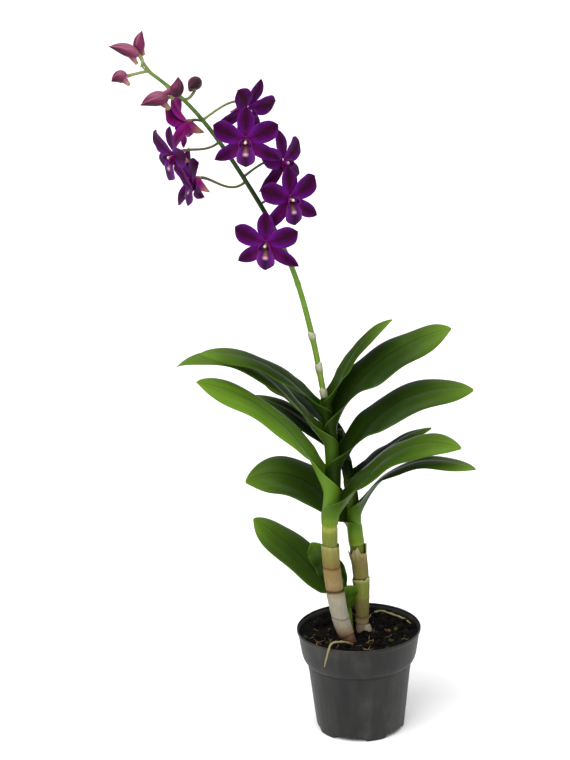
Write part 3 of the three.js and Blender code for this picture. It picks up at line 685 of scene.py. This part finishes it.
canes = {
    "front": {
        "points": [(-5, -19, 84), (-16, -14, 112), (-22, -12.5, 144), (-25, -12, 170), (-26, -12, 214),
                   (-22, -12, 258), (-23, -11.5, 300), (-28, -9, 341)],
        "radii": [(84, 6.4), (112, 7.3), (144, 7.6), (214, 7.5), (258, 6.6), (304, 5.2), (341, 3.9)],
        "rings": [119, 144, 168, 192, 210, 233, 256, 281, 301],
        "colours": [(84, "#33190f"), (98, "#4c2a1c"), (104, "#6b543c"), (150, "#6f6236"), (190, "#65682c"),
                    (200, "#646e22"), (207, "#6c7624"), (211, "#8a9040"), (216, "#6c7c20"), (230, "#34560f"),
                    (250, "#142c05"), (341, "#12280a")],
    },
    "back": {
        "points": [(2, 8, 84), (4, 9, 115), (3, 11, 157), (-1, 13, 193), (-4, 15, 235), (-14, 16, 300)],
        "radii": [(84, 5.2), (115, 5.6), (134, 6.4), (157, 6.9), (186, 7.2), (204, 5.8), (247, 4.8), (300, 3.4)],
        "rings": [110, 130, 148, 171, 196, 222, 250, 275],
        "colours": [(84, "#4c3226"), (92, "#6e5442"), (102, "#877660"), (110, "#6e6236"), (130, "#62662a"),
                    (148, "#566422"), (174, "#5a6a20"), (186, "#46600f"), (215, "#203c08"), (300, "#142c05")],
    },
    "young": {
        "points": [(-8, 9, 86), (-13, 8.5, 125), (-20, 8, 175)],
        "radii": [(86, 3.8), (110, 4.2), (140, 3.6), (175, 2.4)],
        "rings": [104, 120, 138],
        "colours": [(86, "#4a4620"), (98, "#566420"), (120, "#3f6012"), (175, "#34580f")],
    },
}


def caneRadius(name, z):
    return between(canes[name]["radii"], z)


def caneAt(name, z):
    # middle and direction of a cane at a height
    points = canes[name]["points"]
    t = atHeight(points, z)
    ahead = smoothLine(points, min(1, t + 0.02)) - smoothLine(points, max(0, t - 0.02))
    return smoothLine(points, t), ahead.normalized()


def ringSwell(name, z):
    # how far a joint's ring stands out, with a slight waist above it
    return sum(0.3 * math.exp(-((z - ring) / 1.2) ** 2) - 0.2 * math.exp(-((z - ring - 3.5) / 2.5) ** 2)
               for ring in canes[name]["rings"])


def makeCane(name, cane):
    low, high = cane["points"][0][2], cane["points"][-1][2]
    count = round((high - low) / 1.2)
    points = [smoothLine(cane["points"], i / count) for i in range(count + 1)]
    piece = tube(points, [caneRadius(name, point.z) + ringSwell(name, point.z) for point in points], sides=28)
    for vertex in piece.data.vertices:
        vertex.co += noise.noise_vector(vertex.co / mm / 9) * 0.18 * mm
    skin = caneSkin("caneSkin" + name.capitalize(), low, high, cane["colours"], roughness=0.48)
    settle(piece, "cane_" + name + "_skin", "cane", ["cane_" + name], skin)


for name, cane in canes.items():
    makeCane(name, cane)
print("canes made")


# Dry sheaths: papery tubes left round the lower joints, torn along their upper edges

drySheaths = {
    "front_low": {"cane": "front", "from": 101, "to": 147, "torn": 0.6, "loose": 0.5, "seed": 3,
                  "colours": [(101, "#4a3424"), (107, "#7a6850"), (113, "#8a8270"), (118, "#8d8878"),
                              (119.5, "#6b604e"), (121, "#8f8a7a"), (140, "#938c78"), (145, "#857a60"),
                              (146.4, "#4a3826"), (148, "#2c2016")]},
    "front_high": {"cane": "front", "from": 147.5, "to": 194, "torn": 1.6, "loose": 0.4, "seed": 8,
                   "colours": [(147.5, "#4a361e"), (149.5, "#7a6440"), (155, "#85704a"), (168, "#7c6a3e"),
                               (170.4, "#6a4a28"), (171.2, "#5a341c"), (172.4, "#6e5e2c"), (180, "#746c34"),
                               (190, "#7c7840"), (193.4, "#8c8858"), (195, "#a8a07c")]},
    "back_low": {"cane": "back", "from": 104, "to": 150, "torn": 1.6, "loose": 1.2, "seed": 15,
                 "colours": [(104, "#8a7a60"), (109, "#7a6a4a"), (110.4, "#4e3e26"), (113, "#6a6034"), (128, "#666030"),
                             (131, "#6c7030"), (146, "#6c7430"), (149, "#8f8c54"), (151, "#a09c6c")]},
    "back_high": {"cane": "back", "from": 150, "to": 181, "torn": 7, "loose": 2.4, "seed": 21,
                  "colours": [(150, "#463a1c"), (152, "#6c6634"), (164, "#686030"), (172, "#7c7044"), (178, "#948a60"),
                              (188, "#a8a07c")]},
}
sheathSheet = {"rows": 26, "cells": 44, "gap": 0.75, "crinkle": 0.22, "thickness": 0.4}


def makeDrySheath(name, sheath):
    rows, cane, low, high = sheathSheet["rows"], sheath["cane"], sheath["from"], sheath["to"]
    shift = Vector((sheath["seed"], 2, 5))

    def placeAt(row, s):
        turn = math.pi * s
        tear = noise.noise(Vector((math.cos(turn) * 1.6, math.sin(turn) * 1.6, 0)) + shift)
        notch = abs(noise.noise(Vector((math.cos(turn) * 5, math.sin(turn) * 5, 3)) + shift))
        top = high + sheath["torn"] * (1.6 * tear - 1.2 * notch)
        share = row / rows
        z = low + (top - low) * share
        middle, tangent = caneAt(cane, z)
        side = tangent.cross(Vector((0, -1, 0))).normalized()
        back = tangent.cross(side)
        crinkle = sheathSheet["crinkle"] * noise.noise(Vector((math.cos(turn) * 3, math.sin(turn) * 3, z / 14)) + shift)
        loose = sheath["loose"] * smoothStep((share - 0.5) / 0.5) * (0.5 + notch)
        radius = caneRadius(cane, z) + sheathSheet["gap"] + ringSwell(cane, z) * 0.8 + crinkle + loose
        return middle + (side * math.cos(turn) + back * math.sin(turn)) * radius

    piece = sheetOf(rows, sheathSheet["cells"], placeAt)
    faceOutwards(0.02)
    thicken(piece, sheathSheet["thickness"])
    skin = caneSkin("drySheath_" + name, low - 2, high + 8, sheath["colours"], roughness=0.72)
    settle(piece, "sheath_" + name, "dry_sheath", ["dry_sheath_" + name], skin)


for name, sheath in drySheaths.items():
    makeDrySheath(name, sheath)
print("dry sheaths made")


# Leaves: channelled, waxy blades whose bases run down into sheaths round the cane

wrap = 2.97  # radians that a sheath reaches round the cane on each side
leafForm = {
    "widest": 0.5, "foot": 0.68, "blunt": 2.6, "tipShare": 0.05, "curl": 1, "curlTip": -0.5, "hump": 0.5,
    "footGap": 1.3,  # from the cane's skin to the foot of the blade
    "thickness": 0.9,
    "wave": 1 / 37,  # height of the waves at the edge, as a share of the width
    "ripple": 0.7,
    "rows": 48, "cells": 16, "sheathRows": 9,
}
leafColumns = ("name", "cane", "z", "heading", "sweep", "rise", "droop", "bend", "roll", "rollTip", "length", "width",
               "low", "clasp", "shade")  # low is its sheath's foot, clasp the share of the blade that still clasps
# shade is how far a leaf is painted towards the paler green: partly its own freshness, partly painted light for leaves
# that face the light
leaves = [
    ("front_right_1", "front", 222, -19, -10, 59, -16, 1.9, 25, 18, 163, 39, 214, 0.32, 0.25),
    ("front_left_1", "front", 243, 187, 28, 80, 19, 0.8, -19, -33, 192, 41, 218, 0.3, 1),
    ("front_right_2", "front", 268, -4, 5, 66, -15, 1.3, 31, 20, 162, 42, 236, 0.4, 0.1),
    ("front_left_2", "front", 294, 181, -14, 57, -45, 2.4, 3, -2, 180, 36, 261, 0.28, 0.4),
    ("front_right_3", "front", 307, 4, -11, 83, 13, 0.7, 36, 23, 156, 43, 286, 0.46, 0.1),
    ("front_left_3", "front", 320, 190, 19, 60, 2, 1.2, -17, -12, 150, 34, 300, 0.3, 0.1),
    ("front_right_4", "front", 333, 7, -12, 72, 24, 1.7, 22, 10, 104, 22, 314, 0.4, 0.2),
    ("back_right_1", "back", 210, -27, -5, 73, -16, 1, 10, -8, 156, 39, 196, 0.18, 0.15),
    ("back_left_1", "back", 200, 173, -4, 62, -41, 1.6, -31, -44, 124, 43, 184, 0.15, 0.15),
    ("back_right_2", "back", 246, 7, -22, 52, 15, 1.4, 5, -6, 93, 32, 204, 0.2, 0),
    ("back_left_2", "back", 266, 176, 0, 61, 11, 1.2, -14, -10, 112, 32, 240, 0.2, 0),
    ("back_left_3", "back", 290, 166, 0, 62, 8, 1.2, -10, -8, 96, 30, 260, 0.2, 0),
    ("young_left_1", "young", 130, 166, 3, 50, 32, 1.5, -41, -25, 113, 38, 108, 0.15, 0.2),
    ("young_left_2", "young", 136, 196, 0, 76, 40, 2.2, 64, 50, 62, 30, 116, 0.15, 0.15),
    ("young_right_1", "young", 116, -75, 0, 88, 70, 1.5, 10, 10, 31, 21, 97, 0.2, 0.4),
]


def makeLeaf(order, leaf):
    cane, foot, rows, sheathRows = leaf["cane"], leaf["z"], leafForm["rows"], leafForm["sheathRows"]
    out = wayOf(leaf["heading"])
    blade = {**leaf, **leafForm, "base": caneAt(cane, foot)[0] + out * (caneRadius(cane, foot) + leafForm["footGap"])}
    spine = bladeSpine(blade, rows)
    pick = random.Random(order + 40)
    phase, beats = pick.uniform(0, 6), pick.uniform(2.2, 3.4)
    shift = Vector((order * 7, 3, 1))

    def sheathFrame(z, share):
        centre, up = caneAt(cane, z)
        away = (out - up * out.dot(up)).normalized()
        radius = caneRadius(cane, z) + 0.05 + 1.05 * share
        return centre + away * radius, up, up.cross(away), radius

    def placeAt(row, s):
        if row < sheathRows:
            share = row / sheathRows
            point, along, left, radius = sheathFrame(leaf["low"] + (foot - leaf["low"]) * share, share)
            return arcPoint(point, along, left, radius * wrap, wrap, s)
        t, point, along, left = spine[row - sheathRows]
        half = blade["width"] / 2 * bladeShare(blade, t)
        curl = bladeCurl(blade, t)
        moved, open = smoothStep(t / 0.12), smoothStep(t / leaf["clasp"])
        if open < 1:
            claspFoot, up, side, radius = sheathFrame(foot + t * leaf["length"] * 0.5, 1)
            point = claspFoot.lerp(point, moved)
            along = up.lerp(along, moved).normalized()
            left = side.lerp(left, open)
            left = (left - along * left.dot(along)).normalized()
            half = radius * wrap + (half - radius * wrap) * smoothStep(1.4 * t / leaf["clasp"])
            # an opening base stays round the cane, so its arc is at least as wide as it is far off
            off = point - caneAt(cane, point.z)[0]
            curl = max(curl, min(wrap + (curl - wrap) * open, half / math.hypot(off.x, off.y)))
        soft = math.sqrt(s * s + 0.004)
        hump = blade["hump"] * half * soft * (1 - min(1, soft)) * open
        swing = math.sin(beats * 2 * math.pi * t + phase + (1.3 if s > 0 else 0))
        wave = blade["width"] * blade["wave"] * s * s * swing * smoothStep(t * 4)
        ripple = blade["ripple"] * noise.noise(Vector((t * 5, s * 1.2, 0)) + shift) * open
        return arcPoint(point, along, left, half, curl, s, hump + wave + ripple)

    def shareAt(row):
        return (row - sheathRows) / sheathRows * 0.2 if row < sheathRows else spine[row - sheathRows][0]

    piece = sheetOf(sheathRows + rows, leafForm["cells"], placeAt, shareAt)
    thicken(piece, leafForm["thickness"], material_offset=1, material_offset_rim=0)
    # partly painted light: the shade value lifts the whole blade towards the paler green, most on the leaf that faces
    # the light
    paint(piece, "tone", lambda spot: leaf["shade"])
    paint(piece, "pale", lambda spot: smoothStep((262 - spot.z) / 34))
    settle(piece, "blade_" + leaf["name"], "leaf", ["leaf_" + leaf["name"]], leafTop, leafUnder)


for order, row in enumerate(leaves):
    makeLeaf(order, dict(zip(leafColumns, row)))
print("leaves made")


# Flower stem: a slender arching stalk with papery bracts low down and one short stalk to each flower and bud

stemShape = {
    "points": [(-28.2, -8.9, 341.4), (-38, -8, 400), (-52, -8, 458), (-69.5, -9, 503), (-96, -10, 553),
               (-123, -12, 597), (-144, -15, 625), (-166, -18, 647), (-188, -20, 665)],
    "radii": [(341, 2.9), (400, 2.8), (520, 2.3), (620, 1.9), (665, 1.6)],
    "rings": [342, 366, 398, 452],
    "bracts": [(340, 12, -100), (366, 11, -60), (398, 9, -110)],  # foot, length, heading
    "stalk": 1.3,
}
flowerSeat = (0, 1.5, -6)  # where a flower's stalk meets it, in the flower's own frame

# centre of each flower's heart, heading and tilt it faces, spin about that line, fold forward, turn of the
# tips back, directions of its petals and side sepals, height its stalk leaves, sag
blooms = [
    ((-78, -36, 500.5), -104, -10, 2, -12, 2, (25, 155), (-37, 215), 498, 0),
    ((-56, -18, 537), -62, 2, -1, -5, -4, (33, 155), (-32, 222), 530, 0),
    ((-62, 2, 566.5), -37, 4, -1, -8, -5, (29, 157), (-26, 212), 556, 0),
    ((-93.5, -44, 599.5), -96, -8, 2, -12, 0, (28, 157), (-30, 214), 578, 0),
    ((-93.5, 8, 617), -46, -18, 17, 1, 2, (24, 147), (-29, 211), 611, 0),
    ((-148.5, 8, 604.5), 165, -8, 10, 22, -14, (56, 150), (-12, 214), 600, 0),
    ((-158, -42, 586.5), -150, -9, 14, 2, 0, (26, 157), (-32, 208), 590, 8),
    ((-141.5, -17, 557), -155, 8, -12, 22, -16, (32, 130), (-22, 218), 552, 16),
]

# base, tip, width, way of the spur, height its stalk leaves, sag, ripeness
buds = [
    ((-188.5, -21, 674), (-214, -23, 684), 12, (0.1, 0, -1), 663, 0, 0.04),
    ((-187, -16, 675), (-185, -14, 695), 11, (0.4, 0, -0.5), 656, 0, 0.12),
    ((-199, -30, 657), (-213, -33, 654), 12, (0.5, -0.6, -1), 659, 0, 0.02),
    ((-163, -24, 635), (-188, -30, 631), 14, (0.3, 0, -1), 646, 0, 0.02),
    ((-158, -36, 639), (-152, -31, 655), 13, (-1, 0, 0.1), 640, 0, 0.3),
    ((-137, 5, 642), (-144, -16, 642), 13, (-0.8, -0.3, -0.8), 632, 13, 0.42),
]


def stemAt(z):
    # middle and direction of the stem at a height
    t = atHeight(stemShape["points"], z)
    middle = smoothLine(stemShape["points"], t)
    return middle, (smoothLine(stemShape["points"], min(1, t + 0.01)) - middle).normalized()


def bloomFrame(centre, heading, tilt, spin):
    face, level, spin = wayOf(heading, tilt), wayOf(heading + 90), math.radians(spin)
    up = face.cross(level) * math.cos(spin) + level * math.sin(spin)
    return Matrix.Translation(Vector(centre)) @ Matrix((up.cross(face), up, face)).transposed().to_4x4()


def makeStalk(leavesAt, joint, arrival, reach, sag, material, growth=1):
    start, end = stemAt(leavesAt)[0], joint - arrival * 0.3
    before = end - arrival * reach
    middle = start.lerp(before, 0.5) - Vector((0, 0, sag))
    points, radii = [], []
    for i in range(19):
        t = i / 18
        points.append(start * (1 - t) ** 3 + middle * 3 * t * (1 - t) ** 2
                      + before * 3 * t * t * (1 - t) + end * t ** 3)
        radii.append(growth * stemShape["stalk"] * (0.85 + 0.25 * abs(2 * t - 1) ** 3 + 0.15 * t))
    piece = tube(points, radii, sides=12)
    piece.data.materials.append(material)
    paint(piece, "along", lambda spot: min(1, (spot - start).length / max(1, (end - start).length)))
    return piece


def makeStem():
    stemSkin = fleshSkin("flowerStemSkin", [(0, "#6c8428"), (0.36, "#5f862a"), (0.46, "#3a5a18"), (0.56, "#1f300e"),
                                            (0.72, "#243a12"), (0.8, "#42602a"), (1, "#6a8640")], roughness=0.45)
    stalkGreen = fleshSkin("palePedicelSkin", [(0, "#6f8440"), (0.6, "#84945a"), (1, "#7a7448")], roughness=0.45)
    stalkBrown = fleshSkin("ripePedicelSkin", [(0, "#485624"), (0.5, "#55543a"), (1, "#5c4a3a")], roughness=0.45)
    points, radii = [], []
    for i in range(178):
        middle = smoothLine(stemShape["points"], i / 180)
        swell = sum(0.5 * math.exp(-((middle.z - ring) / 1.6) ** 2) for ring in stemShape["rings"])
        points.append(middle)
        radii.append((between(stemShape["radii"], middle.z) + swell) * (1 - 0.5 * smoothStep((i - 168) / 9)))
    main = tube(points, radii, sides=18)
    main.data.materials.append(stemSkin)
    low, high = stemShape["points"][0][2], stemShape["points"][-1][2]
    paint(main, "along", lambda spot: (spot.z - low) / (high - low))
    parts = [main]
    for order, (centre, heading, tilt, spin, *_, leavesAt, sag) in enumerate(blooms):
        turned = bloomFrame(centre, heading, tilt, spin)
        skin = stalkGreen if order in (3, 4) else stalkBrown
        parts.append(makeStalk(leavesAt, turned @ Vector(flowerSeat), turned.col[2].to_3d(), 12, sag, skin))
    for base, tip, _, _, leavesAt, sag, _ in buds:
        arrival = (Vector(tip) - Vector(base)).normalized()
        parts.append(makeStalk(leavesAt, Vector(base), arrival, 5, sag, stalkGreen, 1.2))
    settle(joinPieces(parts), "flower_stalks", "flower_stem", ["flower_stem"])


def makeBract(order, z, length, heading, skin):
    # a thin dry sheath that wraps the stem and ends in a point
    rows, out = 14, wayOf(heading)

    def placeAt(row, s):
        share = row / rows
        middle, up = stemAt(z + length * share)
        away = (out - up * out.dot(up)).normalized()
        radius = between(stemShape["radii"], middle.z) + 0.45 + 0.7 * share
        reach = wrap * (1 - smoothStep((share - 0.35) / 0.65) * 0.97)
        return arcPoint(middle + away * radius, up, up.cross(away), radius * reach, reach, s)

    piece = sheetOf(rows, 20, placeAt)
    thicken(piece, 0.3)
    paint(piece, "along", lambda spot: (spot.z - z) / length)
    settle(piece, "bract_" + str(order + 1), "dry_sheath", [], skin)


makeStem()
bractSkin = fleshSkin("paperyBract", [(0, "#6a7640"), (0.4, "#9a9a7c"), (1, "#b8b49c")], roughness=0.75)
for order, bract in enumerate(stemShape["bracts"]):
    makeBract(order, *bract, bractSkin)
print("flower stem made")


# Blooms: in a bloom's own frame X is its right, Y the way its top sepal points and Z the way it faces

tepalForm = {"sweep": 0, "roll": 0, "rollTip": 0, "bend": 1, "tipShare": 0.03, "curl": 0.5, "curlTip": 0.2,
             "hump": 0.25, "ruffle": 0.35, "point": 1.3, "thickness": 0.6, "rows": 18, "cells": 12}
topForm = {"length": 28, "width": 16.5, "widest": 0.46, "foot": 0.4, "blunt": 1.35, "rise": 20, "droop": -12,
           "base": (0, 2.8, -0.4)}
petalForm = {"length": 31, "width": 20, "widest": 0.55, "foot": 0.3, "blunt": 1.75, "rise": 22, "droop": -14,
             "base": (1.6, 0.2, 1), "ruffle": 0.9, "hump": 0.18, "point": 0.9}
sideForm = {"length": 33, "width": 14.5, "widest": 0.36, "foot": 0.8, "blunt": 1.35, "rise": 14, "droop": -12,
            "base": (2.2, -4.4, -1.6)}
lipForm = {"length": 22.5, "width": 18, "widest": 0.62, "foot": 0.34, "blunt": 1.9, "rise": 50, "droop": -18,
           "base": (0, -4, 1), "curl": 1.2, "curlTip": -0.7, "ruffle": 0.5, "hump": 0, "point": 0}
lobeForm = {"length": 10, "width": 9, "widest": 0.5, "foot": 0.7, "blunt": 2.2, "rise": 72, "droop": 60,
            "base": (2, -2.4, 1), "ruffle": 0.3, "hump": 0, "point": 0}
chinForm = {"top": (0, 0.8, -5), "tip": (0, -12, -15.5), "rows": 8, "bulge": (3.4, -1.6, -1.2), "reach": 21}
columnForm = {
    "points": [(0, -9, -12), (0, -6.5, -7), (0, -1.8, -1), (0, -0.6, 7)],
    "radius": 0.8, "swell": 1.5,
    "cap": 1.5, "capPlace": (0, -0.7, 7),
}
neckForm = {"points": [flowerSeat, (0, 1.2, -3), (0, 0.5, -0.5)], "radius": 1.3, "growth": 1.2}
columnSkin = fleshSkin("columnTissue", [(0, "#7a4a3a"), (0.5, "#6a1a50"), (0.74, "#7a3a62"), (0.86, "#b48a84"),
                                        (1, "#d0c2aa")], roughness=0.45)
neckSkin = fleshSkin("neckTissue", [(0, "#8b7a4c"), (1, "#86386a")], roughness=0.5)


def mirrored(form, heading):
    x, y, z = form["base"]
    return {**form, "heading": heading, "base": (-x, y, z)}


def bloomBlades(cup, flare, petals, sepals):
    folded = lambda form: {**form, "rise": form["rise"] + cup, "droop": form["droop"] + cup / 2 + flare}
    return [
        {**folded(topForm), "heading": 90},
        {**folded(petalForm), "heading": petals[0]}, mirrored(folded(petalForm), petals[1]),
        {**folded(sideForm), "heading": sepals[0], "chin": 1}, {**mirrored(folded(sideForm), sepals[1]), "chin": -1},
        {**lipForm, "heading": -90, "skin": 1},
        {**lobeForm, "heading": 0, "skin": 2}, {**mirrored(lobeForm, 180), "skin": 2},
    ]


def makeTepal(form, pick):
    blade = {**tepalForm, **form}
    blade["rise"] += pick.uniform(-2, 2)
    blade["droop"] += pick.uniform(-3, 3)
    spine = bladeSpine(blade, blade["rows"])
    shift = Vector([pick.uniform(0, 50) for _ in range(3)])
    chin = blade.get("chin", 0)
    before = chinForm["rows"] if chin else 0
    top, tip, bulge = Vector(chinForm["top"]), Vector(chinForm["tip"]), Vector(chinForm["bulge"])
    bulge.x *= chin

    def bladePoint(t, point, along, left, s):
        half = blade["width"] / 2 * bladeShare(blade, t)
        soft = math.sqrt(s * s + 0.01)
        hump = blade["hump"] * half * soft * (1 - min(1, soft))
        frill = blade["ruffle"] * s * s * 2 * noise.noise(Vector((t * 4.5, s * 0.8, 0)) + shift) * smoothStep(t * 3)
        tooth = along * blade["point"] * smoothStep((t - 0.86) / 0.14) * max(0, 1 - 1.6 * abs(s)) ** 1.5
        return arcPoint(point, along, left, half, bladeCurl(blade, t), s, hump + frill) + tooth

    def placeAt(row, s):
        if row >= before:
            return bladePoint(*spine[row - before], s)
        # the side sepals run down into a chin and meet along its back
        share = row / before
        ridge = top.lerp(tip, (1 - s * chin) / 2)
        return ridge.lerp(bladePoint(*spine[0], s), share) + bulge * 4 * share * (1 - share) * (1 - s * s * 0.6)

    def shareAt(row):
        return spine[row - before][0] if row >= before else 0

    piece = sheetOf(blade["rows"] + before, blade["cells"], placeAt, shareAt)
    for material in ((petalFront, lipFront, lobeFront)[blade.get("skin", 0)], petalBack, rimLightPetal):
        piece.data.materials.append(material)
    thicken(piece, blade["thickness"], material_offset=1, material_offset_rim=2)
    if chin:
        paint(piece, "chin", lambda spot: max(0, 1 - max(0, (spot - tip).length - 1) / chinForm["reach"]))
    return piece


def makeColumn():
    # the column with its cap and the foot below it, drawn as one closed skin
    points = [smoothLine(columnForm["points"], i / 24) for i in range(25)]
    radii = [columnForm["radius"] + columnForm["swell"] * math.sin(math.pi * (i / 24) ** 0.9) ** 0.8 for i in range(25)]
    foot = tube(points, radii, sides=16)
    cap = newPiece(bpy.ops.mesh.primitive_uv_sphere_add, segments=16, ring_count=10, radius=columnForm["cap"] * mm)
    for vertex in cap.data.vertices:
        vertex.co = vertex.co * Vector((1, 1, 0.9)) + Vector(columnForm["capPlace"]) * mm
    piece = joinPieces([foot, cap])
    fuse(piece, voxel=0.35, rounds=3)
    piece.data.materials.append(columnSkin)
    paint(piece, "along", lambda spot: (spot.z + 12) / 20)
    return piece


def makeNeck():
    piece = tube([smoothLine(neckForm["points"], i / 8) for i in range(9)],
                 [neckForm["radius"] + neckForm["growth"] * i / 8 for i in range(9)], sides=12)
    piece.data.materials.append(neckSkin)
    paint(piece, "along", lambda spot: (spot.z + 6) / 5.5)
    return piece


def makeBloom(order, centre, heading, tilt, spin, cup, flare, petals, sepals):
    pick = random.Random(order + 70)
    parts = [makeTepal(form, pick) for form in bloomBlades(cup, flare, petals, sepals)]
    piece = joinPieces(parts + [makeColumn(), makeNeck()])
    placed = bloomFrame(centre, heading, tilt, spin)
    placed.translation *= mm
    piece.data.transform(placed)
    settle(piece, "flower_" + str(order + 1), "petal", ["bloom_" + str(order + 1)])


for order, bloom in enumerate(blooms):
    makeBloom(order, *bloom[:8])
print("blooms made")


# Buds: three closed sepals over a short spur

budForm = {"bow": 0.12, "hook": 0.9, "spur": 0.75, "seams": (-1, 1, math.pi, -math.pi), "seamDepth": 0.45,
           "seamWidth": 0.7}
budSkin = fleshSkin("budTissue", [(0.06, "#84884a"), (0.2, "#96785c"), (0.3, "#8c4c66"), (0.48, "#6e2249"),
                                  (0.72, "#400e28"), (1, "#280616")],
                    roughness=0.42, mottleScale=320, mottleTone="#959595")


def makeBud(order, base, tip, width, spur, ripeness):
    base, tip, spurWay = Vector(base), Vector(tip), Vector(spur).normalized()
    axis = (tip - base).normalized()
    bow = (spurWay - axis * spurWay.dot(axis)).normalized() * width * budForm["bow"]
    points, radii = [], []
    for i in range(29):
        share = i / 28
        points.append(base.lerp(tip, share) - bow * math.sin(math.pi * share) + bow * budForm["hook"] * share ** 3)
        radii.append(width / 2 * max(0.1, math.sin(math.pi * (0.12 + 0.86 * share) ** 0.85)))
    body = tube(points, radii, sides=24)
    foot = base.lerp(tip, 0.3)
    spurEnd = base.lerp(tip, 0.08) + spurWay * width * min(1, Vector(spur).length) * budForm["spur"]
    spurPiece = tube([foot.lerp(spurEnd, i / 8) for i in range(9)],
                     [width * (0.36 - 0.22 * (i / 8) ** 0.8) for i in range(9)], sides=16)
    piece = joinPieces([body, spurPiece])
    fuse(piece, voxel=0.4, rounds=6)
    # the three sepals meet in shallow seams that run from base to tip
    side = axis.cross(spurWay).normalized()
    seams = [0] * len(piece.data.vertices)
    for vertex in piece.data.vertices:
        spot = vertex.co / mm - base
        share = spot.dot(axis) / (tip - base).length
        away = spot - axis * spot.dot(axis)
        if 0.25 < share < 1 and away.length > 0.5:
            turn = math.atan2(away.dot(side), -away.dot(spurWay))
            seam = min(abs(turn - middle) for middle in budForm["seams"]) * away.length
            seams[vertex.index] = math.exp(-(seam / budForm["seamWidth"]) ** 2) * smoothStep((share - 0.25) * 4)
            vertex.co -= away.normalized() * budForm["seamDepth"] * seams[vertex.index] * mm
    piece.data.materials.append(budSkin)
    layer = piece.data.attributes.new("along", "FLOAT", "POINT")
    for vertex in piece.data.vertices:
        share = (vertex.co / mm - spurEnd).length / (tip - spurEnd).length
        # painted shade: the side of a bud whose normals point down is pushed towards dark maroon and the upper side
        # lighter, as light falls from above
        budShadeValue = 0.04 + ripeness + 0.74 * share - 0.44 * vertex.normal.z * smoothStep(share * 2)
        layer.data[vertex.index].value = max(0.3 * smoothStep(share * 3), budShadeValue - 0.22 * seams[vertex.index])
    settle(piece, "closed_bud_" + str(order + 1), "bud", ["bud_" + str(order + 1)])


for order, (base, tip, width, spur, _, _, ripeness) in enumerate(buds):
    makeBud(order, base, tip, width, spur, ripeness)
print("buds made")


# Roots: two pale aerial roots, one over the rim and one lying on the bed

roots = {
    "front": [(-7, -29, 97), (-11, -37, 102), (-18, -45, 107), (-25, -51.5, 109.2), (-29, -55.5, 108),
              (-31.5, -58.5, 101), (-35, -59.5, 88)],
    "right": [(10, 30, 94.5), (14, 43, 97), (22, 46.5, 99), (32, 38, 99.4), (44, 25, 99.7), (51, 12, 99.7)],
}
rootSkin = fleshSkin("aerialRootSkin", [(0, "#6f6a44"), (0.5, "#948c64"), (1, "#857850")],
                     roughness=0.75, mottleScale=600)


def makeRoot(name, points):
    middles = [smoothLine(points, i / 48) for i in range(49)]
    piece = tube([middle + noise.noise_vector(middle / 5) * 0.35 for middle in middles],
                 [1 + 0.12 * math.sin(i * 0.9) - 0.4 * (i / 48) ** 6 for i in range(49)], sides=12)
    start, end = Vector(points[0]), Vector(points[-1])
    paint(piece, "along", lambda spot: (spot - start).length / (end - start).length)
    settle(piece, "aerial_root_" + name, "root", ["root_" + name], rootSkin)


for name, points in roots.items():
    makeRoot(name, points)
print("roots made")


# Studio: a white floor, broad soft suns and the camera

studio = {
    "floorSize": 60,
    "floorStops": [(0.3, "#fbfbfb"), (0.7, "#fefefe")],
    # degrees round from +X, degrees up, strength, width in degrees
    "suns": {"keyLight": (-128, 52, 2.7, 55), "fillLight": (-48, 38, 0.9, 80), "backLight": (70, 62, 0.8, 80)},
    "roomColour": "#fbfbfb",
    "roomStrength": 0.42,
    "cameraPlace": (-0.0647, -2.5, 1.1797),
    "cameraPitch": 18.23,  # degrees down
    "cameraRoll": 1.6,
    "focal": 2799 / 760,  # in frame heights
}


def makeStudio():
    floor = newPiece(bpy.ops.mesh.primitive_plane_add, size=studio["floorSize"])
    floor.name = floor.data.name = "studio_floor"
    material, tree, place, _ = newMaterial("paleFloor")
    cloud = addNode(tree, "TexNoise", {"Scale": 1.5}, {"Vector": place})
    pale = addNode(tree, "ValToRGB", {"stops": studio["floorStops"]}, {"Fac": cloud})
    closeMaterial(tree, pale, roughness=0.9, specular=0.1)
    floor.data.materials.append(material)
    for name, (turn, height, strength, spread) in studio["suns"].items():
        light = bpy.data.lights.new(name, "SUN")
        light.energy = strength
        light.angle = math.radians(spread)
        lamp = bpy.data.objects.new(name, light)
        bpy.context.scene.collection.objects.link(lamp)
        lamp.location = wayOf(turn, height) * 3
        lamp.rotation_euler = (-lamp.location).to_track_quat("-Z", "Y").to_euler()
    world = bpy.data.worlds.new("paleRoom")
    world.use_nodes = True
    room = world.node_tree.nodes["Background"].inputs
    room["Color"].default_value = linear(studio["roomColour"])
    room["Strength"].default_value = studio["roomStrength"]
    bpy.context.scene.world = world
    bpy.context.scene.view_settings.view_transform = "Standard"


def makeCamera():
    pitch, roll = math.radians(studio["cameraPitch"]), math.radians(studio["cameraRoll"])
    right = Vector((1, 0, 0))
    up = Vector((0, math.sin(pitch), math.cos(pitch)))
    forward = Vector((0, math.cos(pitch), -math.sin(pitch)))
    camX = right * math.cos(roll) - up * math.sin(roll)
    camY = right * math.sin(roll) + up * math.cos(roll)
    lens = bpy.data.cameras.new("studioCamera")
    lens.lens = studio["focal"] * 36  # the frame's height is 36 mm
    lens.clip_end = 40
    camera = bpy.data.objects.new("studioCamera", lens)
    bpy.context.scene.collection.objects.link(camera)
    turned = Matrix((camX, camY, -forward)).transposed().to_4x4()
    camera.matrix_world = Matrix.Translation(studio["cameraPlace"]) @ turned
    bpy.context.scene.camera = camera


makeStudio()
makeCamera()
print("studio ready")
